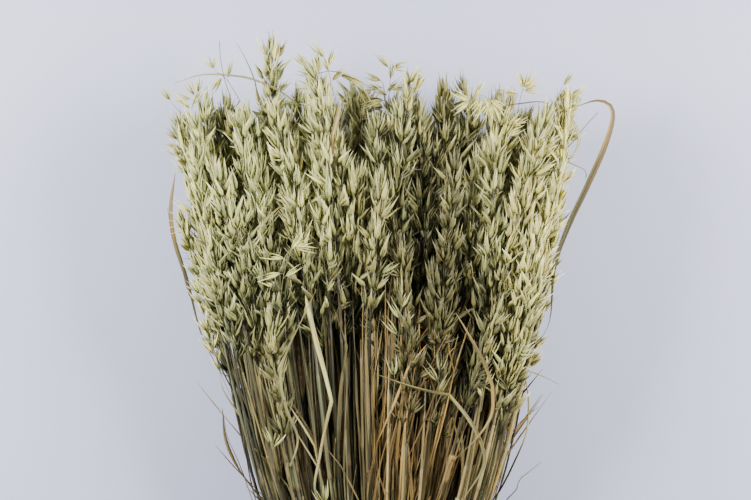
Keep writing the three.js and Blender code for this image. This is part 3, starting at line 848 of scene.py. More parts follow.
def growPanicle(heap, stalk, rng):
    path = stalk["rachis"]
    total = lengthsAlong(path)[-1]
    last = len(panicle["whorls"]) - 1
    habit = habits.get(stalk["number"], {})
    thin = stalk["fullness"] * habit.get("full", 1)
    inner, rim, rimSlim = panicle["edge"]
    slim = habit.get("slim", 1) * np.interp(abs(stalk["across"]), (inner, rim), (1, rimSlim))
    found = []
    bendFrom, bendWay = habit.get("bend", (2.0, (0, 0, 0)))
    bendWay = np.array(bendWay, float)
    headAge = ageAt(path[12][0], path[12][1]) + rng.normal(0, panicle["headNoise"][0]) + habit.get("age", 0)
    # Painted shade: the head's shade, by its row or depth, is taken off its tone
    headTone = rng.normal(0, panicle["headNoise"][1]) + habit.get("tone", 0) - stalk["shade"]
    for w, share in enumerate(panicle["whorls"]):
        climb = w / last
        firstTurn = rng.uniform(0, 2 * math.pi)
        if share < habit.get("from", 0):
            continue
        for b in range(panicle["branches"][w]):
            place = share + rng.uniform(-0.025, 0.035)
            root, heading = alongPath(path, max(place, 0.0) * total)
            side, rise = crossAxes(heading)
            turn = firstTurn + 2 * math.pi * (b + rng.uniform(-0.3, 0.3)) / panicle["branches"][w]
            out = math.cos(turn) * side + panicle["flatness"] * math.sin(turn) * rise
            size = np.interp(climb, (0, 1), panicle["length"]) * rng.uniform(0.55, 1.15)
            size *= min(slim, thin**0.5)
            size = min(size, total * (1 - max(place, 0)) + 2)
            lean = np.interp(climb, (0, 1), panicle["lean"]) * rng.uniform(0.6, 1.35) * slim
            bent = max(0.0, share - bendFrom) / (1 - bendFrom) if bendFrom < 1 else 0.0
            steps = max(2, int(size / 19))
            points = [root]
            for k in range(steps):
                now = lean * (1 - panicle["straighten"] * (k / steps))
                way = math.cos(now) * heading + math.sin(now) * out
                way = way + bendWay * bent * (0.35 + 0.9 * k / steps)
                points.append(points[-1] + unit(way) * size / steps)
            branch = np.array(points)
            radii = np.linspace(*panicle["radius"], len(branch))
            tint = (headTone + toneWithPaintedShadeAt(root[0], root[1]) - 0.12, headAge, 0)
            pileTube(heap, branch, radii, 3, tint, 1, rng.uniform())
            found += spikeletsOn(branch, heading, size, thin, rng)
    tipPoint, tipHeading = path[-1], unit(path[-1] - path[-2])
    for k in range(2):
        tipWay = unit(tipHeading + rng.normal(0, 0.12, 3) + bendWay * (0.9 if bendFrom < 1 else 0))
        found.append((tipPoint, tipPoint + tipWay * (1 + 3 * k), tipWay))
    count = len(found)
    froms, bases, headings = (np.array([each[k] for each in found]) for k in range(3))
    broads = unit(np.cross(headings, rng.normal(0, 1, (count, 3))))
    tones = headTone + toneWithPaintedShadeAt(bases[:, 0], bases[:, 1]) + rng.normal(0, panicle["grainNoise"][0], count)
    ages = headAge + rng.normal(0, panicle["grainNoise"][1], count)
    seeds = rng.uniform(0, 1, count)
    isOpen = rng.uniform(0, 1, count) < spikelet["openShare"]
    openings = np.where(isOpen, rng.uniform(*spikelet["open"], count), rng.uniform(*spikelet["shut"], count))
    pileSpikelets(
        heap, stalk["form"], bases, headings, broads,
        rng.uniform(*spikelet["length"], count), rng.uniform(*spikelet["halfWidth"], count),
        openings, tones, ages, seeds,
    )
    held = np.linalg.norm(bases - froms, axis=1) > 1.5
    pilePedicels(heap, froms[held], (bases + headings * 0.8)[held], tones[held], ages[held], seeds[held])


def spikeletsOn(branch, heading, size, thin, rng):
    found = []
    distance = size * 0.3
    hand = rng.choice((-1, 1))
    while distance < size - 4:
        point, way = alongPath(branch, distance)
        side = unit(np.cross(way, rng.normal(0, 1, 3)))
        spread = rng.uniform(0.25, 0.85)
        pedicelWay = unit(way + math.tan(spread) * side * hand)
        base = point + pedicelWay * rng.uniform(*panicle["pedicel"])
        found.append((point, base, unit(pedicelWay + 0.1 * heading + rng.normal(0, 0.14, 3))))
        distance += panicle["step"] * rng.uniform(0.75, 1.3) / thin
        hand = -hand
    end = branch[-1]
    found.append((end, end, unit(unit(branch[-1] - branch[-2]) + rng.normal(0, 0.09, 3))))
    return found


# Painted shade: a base tone, less a darkening in the sheaf's middle, where it dips between its flanks, and
# towards its stems, and a little less to the right
def toneWithPaintedShadeAt(x, y):  # darker in the sheaf's middle than at its flanks, and darker towards its stems
    middle = 0.68 * np.exp(-(((x - 48) / 62) ** 2)) * np.interp(y, (640, 725), (1.0, 0.2))
    low = np.interp(y, (390, 600), (0.6, 0.0)) * np.interp(x, (-180, -125, 125, 180), (1.0, 1.4, 1.0, 0.25))
    # painted shadow: a deep place on the left where the spikelets are toned darker
    low += 0.4 * np.exp(-(((x + 110) / 13) ** 2) - ((y - 530) / 52) ** 2)  # a deep place on the left
    return 0.75 - middle - low - np.interp(x, (60, 160), (0.0, 0.06))


def ageAt(x, y):  # greyer green on the left, browner in the middle of the stems, yellower on the right
    across = x / 200
    leftToRight = 0.36 + 0.2 * np.clip(across, -1, 1)
    brown = math.exp(-(((x - 40) / 52) ** 2)) * np.interp(y, (420, 560), (0.45, 0.2))
    return leftToRight + brown


# Stems: a culm with swollen joints, its cut end closed, and a leaf sheath round each stretch above a joint

stemLook = {
    "joints": (150, 305, 470),  # about where they stand, from the cut ends
    "jointSwell": 1.28,
    "jointHalf": 2.6,
    "sheathLength": (90, 170),
    "sheathWall": 0.35,
    "jointSpread": 38,  # how far a joint may stand from its place
    "sheathTone": 0.16,  # how much lighter a sheath is, and at most how much older
    "sheathAge": 0.35,
}


def stemProfile(path, radii, rng, age, tone, stationCount):  # adds stations at the joints and sheath ends
    lengths = lengthsAlong(path)
    total = lengths[-1]
    marks = []
    for joint in stemLook["joints"]:
        at = joint + rng.uniform(-1, 1) * stemLook["jointSpread"]
        if at < total - 60:
            marks.append((at, at + min(rng.uniform(*stemLook["sheathLength"]), total - 20 - at)))
    stations = set(np.linspace(0, total, stationCount))
    half = stemLook["jointHalf"]
    for at, top in marks:
        stations |= {at - 1.6 * half, at - 0.6 * half, at + 0.6 * half, at + 1.6 * half, top - 1, top}
    stations = np.array(sorted(stations))
    points = np.stack([np.interp(stations, lengths, path[:, axis]) for axis in range(3)], axis=1)
    girth = np.interp(stations, lengths, radii)
    tints = np.zeros((len(stations), 3))
    tints[:, 0] = tone
    tints[:, 1] = age
    for at, top in marks:
        near = np.exp(-(((stations - at) / half) ** 2))
        girth = girth * (1 + (stemLook["jointSwell"] - 1) * near)
        tints[:, 2] = np.maximum(tints[:, 2], near)
        inSheath = (stations > at) & (stations < top)
        girth = girth + stemLook["sheathWall"] * inSheath
        tints[inSheath, 0] += stemLook["sheathTone"]
        tints[inSheath, 1] += rng.uniform(0.0, stemLook["sheathAge"])
    return points, girth, tints


grownAxes = []  # where stems and rachises stand, for the loose pieces that grow out of them


def buildStalk(stalk):
    rng = np.random.default_rng(1000 + stalk["number"])
    heap = newHeap()
    low, foot, tip = sheaf["stemRadius"]
    stem = stalk["stem"]
    age = ageAt(stem[20][0], stem[20][1]) - 0.1 + rng.normal(0, 0.25)
    tone = 0.18 - 0.14 * abs(stalk["across"]) + rng.normal(0, 0.27)
    radii = np.linspace(low, foot, len(stem)) * rng.uniform(0.7, 0.92)
    points, girth, tints = stemProfile(stem, radii, rng, age, tone, 18)
    pileTube(heap, points, girth, 7, tints, 1, rng.uniform())
    lean = np.array(habits.get(stalk["number"], {}).get("lean", (0, 0, 0)))
    rachis = stalk["rachis"] + lean * np.linspace(0, 1, len(stalk["rachis"]))[:, None] ** 2
    grownAxes.append(np.vstack([stem, rachis]))
    radii = np.linspace(girth[-1], tip * 0.6, len(rachis))
    pileTube(heap, rachis, radii, 5, (tone, age, 0), 1, rng.uniform())
    growPanicle(heap, {**stalk, "rachis": rachis}, rng)
    number = f"{stalk['number']:02d}"
    finishPiece(f"oat_{number}", heap, (chaff, culm), (f"stalk_{number}",))


for each in stalks:
    buildStalk(each)
print("stalks grown")


# Straws fill the sheaf between the stalks, and some of them have a head

filling = {
    "count": 190,
    "radius": (0.95, 1.9),
    "air": 0.1,  # least air between two straws at the tie
    "ovalWidth": 45,  # inside the tie
    "ovalDepth": 21.5,
    "squareness": 3.3,
    "reach": (430, 640),
    "sway": (60, 26),
    "shorter": 150,  # how much less far those on top of the sheaf reach
    "gather": 0.84,  # how far inside their own places the bare straws end
    "pieces": 4,
    "headLength": (150, 200),
    "inside": 0.3,  # share of the sheaf's depth within which a head is hidden by others
    "nod": 0.32,
    "gaps": ((-0.19, 0.05), (0.6, 0.075)),  # places across, and half widths, that the top straws leave dark
}

# Some of those straws have a head: how far it reaches, its depth in the sheaf, and its places across it
headTiers = [
    {"reach": 728, "depth": 0.15, "places": (-0.93, 0.82), "count": 13},
    {"reach": 705, "depth": 0.6, "places": (-0.92, 0.85), "count": 13},
    {"reach": 670, "depth": 0.8, "places": (-0.93, -0.15), "count": 6},
    {"reach": 670, "depth": 0.6, "places": (0.0, 0.45), "count": 4},
    {"reach": 670, "depth": 0.8, "places": (0.5, 0.93), "count": 4},
    {"reach": 625, "depth": 0.7, "places": (-0.93, -0.35), "count": 4},
    {"reach": 620, "depth": 0.5, "places": (-0.05, 0.42), "count": 4},
    {"reach": 615, "depth": 0.75, "places": (0.5, 0.9), "count": 3},
    {"reach": 560, "depth": 0.4, "places": (0.05, 0.4), "count": 2},
    {"reach": 560, "depth": 0.7, "places": (0.65, 0.88), "count": 2},
    {"reach": 700, "depth": -0.6, "places": (-0.85, 0.85), "count": 6},
    {"reach": 620, "depth": -0.7, "places": (-0.8, 0.8), "count": 4},
]


def throwStraws(rng):  # places at the tie that are clear of the stalks and of each other
    middle = fanAt(sheaf["tieAlong"], 3)
    taken = []
    for stalk in stalks:
        point, _ = alongPath(stalk["stem"], sheaf["tieAlong"])
        taken.append((point[0], point[2], sheaf["stemRadius"][0]))
    straws = []
    for _ in range(60000):
        if len(straws) == filling["count"]:
            break
        radius = rng.uniform(*filling["radius"])
        x = rng.uniform(-1, 1) * filling["ovalWidth"]
        z = rng.uniform(-1, 1) * filling["ovalDepth"]
        power = filling["squareness"]
        edge = abs(x / (filling["ovalWidth"] - radius)) ** power
        edge += abs(z / (filling["ovalDepth"] - radius)) ** power
        if edge > 1:
            continue
        across = x / fanAt(sheaf["tieAlong"], 1)
        if z > 4 and any(abs(across - at) < half for at, half in filling["gaps"]):
            continue
        z += middle
        if all(math.hypot(x - a, z - b) > radius + r + filling["air"] for a, b, r in taken):
            taken.append((x, z, radius))
            straws.append((x, z - middle, radius))
    return straws


def chooseHeads(straws, rng):  # for each head of the tiers the free straw that stands nearest to its place
    halfWidth, halfDepth = fanAt(sheaf["tieAlong"], 1), fanAt(sheaf["tieAlong"], 2)
    places = np.array([(x / halfWidth, z / halfDepth) for x, z, _ in straws])
    free = np.ones(len(straws), bool)
    chosen = {}
    for tier in headTiers:
        spacing = (tier["places"][1] - tier["places"][0]) / max(1, tier["count"] - 1)
        for across in np.linspace(*tier["places"], tier["count"]):
            across += spacing * rng.uniform(-0.25, 0.25)
            depth = tier["depth"] + rng.uniform(-0.15, 0.15)
            away = (places[:, 0] - across) ** 2 + 0.3 * (places[:, 1] - depth) ** 2
            nearest = int(np.argmin(np.where(free, away, np.inf)))
            free[nearest] = False
            chosen[nearest] = (np.clip(across, -0.98, 0.95), depth, tier["reach"] + rng.uniform(-18, 18))
    return chosen


def buildFilling():
    rng = np.random.default_rng(71)
    straws = throwStraws(rng)
    chosen = chooseHeads(straws, rng)
    heaps = [newHeap() for _ in range(filling["pieces"])]
    for k, (x, z, radius) in enumerate(straws):
        place = np.array([x / fanAt(sheaf["tieAlong"], 1), z / fanAt(sheaf["tieAlong"], 2)])
        free = 1 - 0.9 * min(1, np.linalg.norm(place)) ** 2
        aside = filling["sway"][0] * free * rng.uniform(-0.5, 0.5)
        sway = (aside, filling["sway"][1] * rng.uniform(-0.5, 0.5))
        cut = rng.uniform(0, 14)
        reach = rng.uniform(*filling["reach"])
        reach -= filling["shorter"] * max(0, place[1])
        goal = place * filling["gather"]
        if k in chosen:
            length = rng.uniform(*filling["headLength"])
            goal = np.array(chosen[k][:2])
            reach = chosen[k][2] - sheaf["topSpikelet"] - length
            sway = (0, 0)
        stem = []
        for y in np.linspace(cut, reach, 30):
            share = np.clip((y - sheaf["tieAlong"]) / (reach - sheaf["tieAlong"]), 0, 1) ** 1.5
            across, depth = place + (goal - place) * share
            stem.append(stemPoint(across, depth, sway, y))
        stem = np.array(stem)
        grownAxes.append(stem)
        age = ageAt(stem[12][0], stem[12][1]) - 0.02 + rng.normal(0, 0.28)
        # Painted shade: straws lower in the sheaf are toned darker; all darken towards the flanks
        tone = 0.18 + 0.08 * place[1] - 0.14 * abs(place[0]) + rng.normal(0, 0.28)
        radii = radius * np.linspace(1.05, 0.6, len(stem))
        points, girth, tints = stemProfile(stem, radii, rng, age, tone, 14)
        pileTube(heaps[k % len(heaps)], points, girth, 6, tints, 0, rng.uniform())
        if k not in chosen:
            continue
        heading = unit(stem[-1] - stem[-2])
        nod = np.array([rng.uniform(-0.5, 0.5), 0, rng.uniform(-0.3, 0.3)]) * filling["nod"]
        rachis = [stem[-1]]
        for step in range(1, 5):
            rachis.append(rachis[-1] + unit(heading + nod * step / 4) * length / 4)
        rachis = smoothPath(rachis, 22)
        grownAxes.append(rachis)
        heap = newHeap()
        radii = np.linspace(girth[-1], 0.5, len(rachis))
        pileTube(heap, rachis, radii, 4, (tone, age, 0), 1, rng.uniform())
        form = "plain" if abs(goal[1]) > filling["inside"] else "spare"
        # painted shade: heads deeper in the sheaf are toned darker
        shade = np.interp(goal[1], (0.2, 0.8), (0.18, 0.05))
        head = {
            "number": 0, "across": goal[0], "fullness": 0.78,
            "form": form, "shade": shade, "rachis": rachis,
        }
        growPanicle(heap, head, rng)
        finishPiece(f"head_{sorted(chosen).index(k) + 1:02d}", heap, (chaff, culm))
    for k, heap in enumerate(heaps):
        finishPiece(f"straws_{k + 1}", heap, (culm,))
    print(len(straws), "straws between the stalks,", len(chosen), "of them with a head")


buildFilling()


# Leaves: a thin strip, folded along its middle, twisted and narrowed to a point

leafLook = {
    "thickness": 0.42,
    "stations": 44,
    "sheathWall": 0.8,
    "gap": 0.5,
    "rib": 0.14,  # how much lighter the middle rib is
    # turned: painted shade on one half of a folded leaf, and painted light on the other
    "turned": 0.18,  # how much one half differs from the other
}

# The eight long leaves of the solids: the stalk's row and column, the sheath's ends, the blade's width and
# where it is widest, its age at both ends, its tone, how it twists and folds, and its route (across, along,
# up). Some have more: toneEnd is the tone that they come to, and fades the places between which tone and age
# change. neck is how long the root stays thin, creaseAt the point with a sharp bend, and turned how much
# painted shade darkens one half of the fold and painted light lightens the other.
longLeaves = {
    "right_arch": {
        "on": (2, 13), "sheath": (420, 452), "width": 9, "fullAt": 0.5, "age": (-0.1, 1.1), "tone": -0.2,
        "twist": (0.2, -0.2), "fold": 0.6, "toneEnd": 0.3, "fades": (0.45, 0.85), "neck": 1.8,
        "turned": 0.45,
        "route": [
            (188, 476, 85), (193, 535, 91), (208, 581, 91), (227, 622, 93),
            (246, 664, 94), (256, 696, 95), (253, 712, 96), (238, 717, 96), (218, 711, 95),
        ],
    },
    "left_edge": {
        "on": (1, 0), "sheath": (342, 373), "width": 5.5, "fullAt": 0.8, "age": (0.3, 0.9), "tone": -0.1,
        "twist": (0.4, -0.2), "fold": 0.7, "neck": 1.6, "toneEnd": 0.5, "fades": (0.6, 0.85),
        "route": [
            (-172, 410, 44), (-196, 460, 46), (-212, 520, 47), (-226, 565, 50), (-230, 600, 51),
            (-225, 640, 52),
        ],
    },
    "lower_left": {
        "on": (2, 0), "sheath": (222, 250), "width": 6, "fullAt": 0.35, "age": (0.5, 0.45), "tone": 0.2,
        "twist": (0.3, 3.4), "fold": 0.4,
        "route": [(-118, 268, 65), (-138, 292, 68), (-156, 318, 69), (-168, 346, 68), (-172, 380, 68)],
    },
    "lower_right": {
        "on": (2, 13), "sheath": (222, 250), "width": 4.5, "fullAt": 0.55, "age": (0.5, 0.2), "tone": 0.3,
        "twist": (0.2, 2.8), "fold": 0.7,
        "route": [
            (117, 262, 65), (136, 290, 68), (152, 322, 70), (164, 352, 70), (167, 385, 67), (161, 424, 65),
        ],
    },
    "across_front": {
        "on": (3, 10), "sheath": (252, 282), "width": 5.5, "fullAt": 0.6, "age": (0.2, 0.25), "tone": 0.45,
        "twist": (0.0, 0.9), "fold": 0.75, "creaseAt": 4, "toneEnd": 0.85,
        "route": [
            (114, 318, 113), (112, 345, 119), (98, 372, 124), (77, 399, 130),
            (56, 403, 132), (30, 410, 134), (-6, 422, 133),
        ],
    },
    "front_right": {
        "on": (3, 9), "sheath": (300, 330), "width": 6.5, "fullAt": 0.6, "age": (0.8, 0.5), "tone": 0.4,
        "twist": (0.2, 1.0), "fold": 0.75, "creaseAt": 3, "toneEnd": 0.5, "neck": 1.6,
        "route": [
            (108, 352, 123), (123, 378, 132), (124, 408, 136), (115, 434, 138), (99, 462, 138),
            (84, 486, 138),
        ],
    },
    "pale_folded": {
        "on": (3, 3), "sheath": (236, 266), "width": 6, "fullAt": 0.9, "age": (0.2, 0.2), "tone": 0.5,
        "twist": (0.0, 0.3), "fold": 0.6, "creaseAt": 4, "toneEnd": 1.5,
        "route": [
            (-68, 292, 110), (-63, 330, 116), (-56, 366, 122), (-50, 391, 128),
            (-58, 425, 130), (-68, 463, 133), (-78, 505, 136),
        ],
    },
    "front_left": {
        "on": (3, 2), "sheath": (292, 322), "width": 6, "fullAt": 0.5, "age": (0.0, 0.2), "tone": 0.4,
        "twist": (0.3, 1.8), "fold": 0.5,
        "route": [
            (-86, 350, 119), (-98, 384, 125), (-104, 420, 130), (-94, 452, 136), (-80, 482, 141),
            (-66, 512, 145),
        ],
    },
}


# A closed strip of six corners a ring
def pileStrip(heap, path, halfWidths, turns, folds, tints, slot, seed, turned=leafLook["turned"]):
    rings = len(path)
    side, rise = crossAxes(unit(np.gradient(path, axis=0)))
    broad = np.cos(turns)[:, None] * side + np.sin(turns)[:, None] * rise
    face = -np.sin(turns)[:, None] * side + np.cos(turns)[:, None] * rise
    half = halfWidths[:, None]
    arm = np.cos(folds)[:, None] * half
    lift = np.sin(folds)[:, None] * half
    thick = leafLook["thickness"] / 2 * np.minimum(1, halfWidths / halfWidths.max() + 0.3)[:, None]
    # Right edge, top crease, left edge, and back along the under side
    corners = [
        path + broad * arm + face * (lift + thick),
        path + face * thick,
        path - broad * arm + face * (lift + thick),
        path - broad * arm + face * (lift - thick),
        path - face * thick,
        path + broad * arm + face * (lift - thick),
    ]
    verts = np.stack(corners, axis=1)
    across = np.array([1, 0, -1, -1, 0, 1.0])
    grain = np.zeros((rings, 6, 3))
    grain[..., 0] = across[None] * half
    grain[..., 1] = lengthsAlong(path)[:, None]
    grain[..., 2] = seed
    tint = np.repeat(np.asarray(tints)[:, None], 6, axis=1)
    # The middle rib is lighter; painted shade darkens one half of the fold and painted light lightens the
    # other
    tint[..., 0] += leafLook["rib"] * (1 - np.abs(across)) - turned * across
    tint[..., 2] = np.maximum(tint[..., 2], 0.7 * np.abs(across)[None])
    pileRings(heap, verts, path, grain, tint, slot, 1)


def foldedPath(points, creaseAt, count):  # smooth, but for a sharp bend at one of its points
    if creaseAt is None:
        return smoothPath(points, count)
    lower = smoothPath(points[:creaseAt + 1], count)
    upper = smoothPath(points[creaseAt:], count)
    share = lengthsAlong(lower)[-1] / (lengthsAlong(lower)[-1] + lengthsAlong(upper)[-1])
    first = max(3, round(count * share))
    return np.vstack([evenPath(lower, first), evenPath(upper, count - first + 1)[1:]])


# The higher neck is, the longer the leaf stays thin at its root
def leafWidths(width, fullAt, count, neck=0.8):
    t = np.linspace(0, 1, count)
    swell = np.where(t < fullAt, (t / fullAt) ** neck, ((1 - t) / (1 - fullAt)) ** 0.8)
    return np.maximum(0.35, width / 2 * np.sin(math.pi / 2 * np.clip(swell, 0, 1)))


def stalkAt(row, column):
    return stalks[sum(len(each[2]) for each in sheaf["rows"][:row]) + column]


def stemAt(stalk, along):
    stem, rachis = stalk["stem"], stalk["rachis"]
    axis = np.vstack([stem, rachis[1:]])
    centre = np.array([np.interp(along, axis[:, 1], axis[:, k]) for k in range(3)])
    return centre, np.interp(along, (stem[0][1], stem[-1][1], rachis[-1][1]), sheaf["stemRadius"])


def buildLongLeaf(name, leaf, seed):
    rng = np.random.default_rng(seed)
    heap = newHeap()
    stalk = stalkAt(*leaf["on"])
    low, high = leaf["sheath"]
    sheathPath = np.array([stemAt(stalk, y)[0] for y in np.linspace(low, high, 7)])
    centre, radius = stemAt(stalk, high)
    bore = radius + leafLook["gap"] * 0.4
    outward = unit(np.array(leaf["route"][0], float) - centre)
    outward[1] = 0
    sheathTint = (leaf["tone"], leaf["age"][0], 0)
    sheathRadii = bore + leafLook["sheathWall"] * np.array([0.3, 1, 1, 1, 1, 1.1, 1.25])
    pileTube(heap, sheathPath, sheathRadii, 8, sheathTint, 0, rng.uniform())
    root = centre + unit(outward) * (bore * 0.8) - np.array([0, 6, 0])
    path = foldedPath([root, *leaf["route"]], leaf.get("creaseAt"), leafLook["stations"])
    widths = leafWidths(leaf["width"], leaf["fullAt"], len(path), leaf.get("neck", 0.8))
    widths[:2] = np.maximum(widths[:2], 1.6)
    turns = np.linspace(*leaf["twist"], len(path)) + 0.15 * np.sin(np.linspace(0, 9, len(path)))
    folds = leaf["fold"] + 0.2 * np.sin(np.linspace(0, 7, len(path)) + seed)
    tints = np.zeros((len(path), 3))
    share = np.linspace(0, 1, len(path))
    tones = (leaf["tone"], leaf.get("toneEnd", leaf["tone"]))
    tints[:, 0] = np.interp(share, leaf.get("fades", (0.45, 0.6)), tones)
    tints[:, 0] += 0.1 * np.sin(np.linspace(0, 11, len(path)) + seed)
    tints[:, 1] = np.interp(share, leaf.get("fades", (0, 1)), leaf["age"])
    turned = leaf.get("turned", leafLook["turned"])
    pileStrip(heap, path, widths, turns, folds, tints, 0, rng.uniform(), turned)
    finishPiece(f"blade_{name}", heap, (bladeSkin,), (f"leaf_{name}",))


for order, (leafName, leafValues) in enumerate(longLeaves.items()):
    buildLongLeaf(leafName, leafValues, 300 + order)
print("long leaves laid")


# Dry leaves that lie between and over the straws

# Each group: how many, the places across the sheaf (middle and half spread), depth, width, length, slant,
# tone, age, and for some where along the sheaf they start
litter = {
    "start": (150, 400),
    "pieces": 4,
    "groups": {
        "under": {
            "count": 100, "across": (0.0, 0.95), "depth": (-1.0, 0.15), "width": (4.5, 11.0),
            "length": (120, 300),
            "slant": (0.0, 0.05), "tone": 0.14, "age": 0.1,
        },
        "rim": {
            "count": 120, "across": (0.0, 0.98), "depth": (-0.8, 0.9), "width": (2.5, 8.0),
            "length": (110, 220),
            "slant": (-0.03, 0.0), "tone": 0.16, "age": 0.0,
        },
        "right_flank": {
            "count": 26, "across": (0.86, 0.12), "depth": (-0.4, 0.9), "width": (3.0, 7.0),
            "length": (150, 250),
            "slant": (0.0, 0.01), "tone": 0.22, "age": 0.1, "start": (150, 280),
        },
        "left_flank": {
            "count": 26, "across": (-0.85, 0.12), "depth": (-0.4, 0.9), "width": (3.0, 7.0),
            "length": (150, 260),
            "slant": (0.0, 0.01), "tone": 0.1, "age": -0.15, "start": (150, 320),
        },
        "upper": {
            "count": 100, "across": (0.0, 0.9), "depth": (0.5, 1.12), "width": (1.6, 5.5),
            "length": (80, 220),
            "slant": (0.0, 0.1), "tone": 0.26, "age": 0.0,
        },
        "brown": {
            "count": 62, "across": (0.17, 0.32), "depth": (0.6, 1.14), "width": (1.6, 4.6),
            "length": (80, 200),
            "slant": (0.1, 0.1), "tone": 0.3, "age": 0.4,
        },
    },
    "creased": 0.3,  # share of the leaves with a sharp bend
}


def layLeaf(heap, group, rng, isRim):
    start = rng.uniform(*group.get("start", litter["start"]))
    size = rng.uniform(*group["length"])
    middle, spread = group["across"]
    across = middle + spread * (rng.choice((-1, 1)) * rng.uniform(0.7, 1) if isRim else rng.uniform(-1, 1))
    roof = math.sqrt(max(0.05, 1 - across**2))
    depth = rng.uniform(*group["depth"]) * roof
    slant = rng.normal(*group["slant"])
    if isRim:
        slant = group["slant"][0] * across
    wave = rng.uniform(0, 6.3)
    inGap = any(abs(across - at) < half for at, half in filling["gaps"])
    if inGap and group["depth"][0] > 0:
        return
    points = []
    for t in np.linspace(0, 1, 8):
        y = start + size * t
        a = across + slant * t + 0.012 * math.sin(wave + 5 * t)
        d = depth + 0.05 * math.sin(wave * 2 + 4 * t)
        points.append(np.array([a * fanAt(y, 1), y, fanAt(y, 3) + d * fanAt(y, 2)]))
    crease = None
    if rng.uniform() < litter["creased"]:
        crease = int(rng.integers(3, 6))
        turned = rng.uniform(0.15, 0.5) * rng.choice((-1, 1))
        for k in range(crease + 1, len(points)):
            step = points[k] - points[crease]
            points[k] = points[crease] + np.array([step[0] + turned * step[1], step[1] * 0.85, step[2]])
    path = foldedPath(points, crease, 13)
    widths = leafWidths(rng.uniform(*group["width"]), rng.uniform(0.25, 0.7), len(path))
    turns = rng.uniform(-0.5, 0.5) + np.linspace(0, rng.normal(0, 1.4), len(path))
    folds = rng.uniform(0.2, 0.9) + 0.25 * np.sin(np.linspace(0, 8, len(path)) + wave)
    tints = np.zeros((len(path), 3))
    tints[:, 0] = group["tone"] + rng.normal(0, 0.22)
    tints[:, 1] = ageAt(path[6][0], path[6][1]) + group["age"] + rng.normal(0.05, 0.22)
    pileStrip(heap, path, widths, turns, folds, tints, 0, rng.uniform())


def buildLitter():
    rng = np.random.default_rng(512)
    heaps = [newHeap() for _ in range(litter["pieces"])]
    for name, group in litter["groups"].items():
        for k in range(group["count"]):
            layLeaf(heaps[k % len(heaps)], group, rng, name == "rim")
    for k, heap in enumerate(heaps):
        finishPiece(f"dry_leaves_{k + 1}", heap, (bladeSkin,))


buildLitter()
print("dry leaves laid between the straws")


# Single sprays that stand out of the sheaf's crown and sides, or lie on its front. Each spikelet: its place
# along the stem, its way in plan in degrees, and how far it stands open.

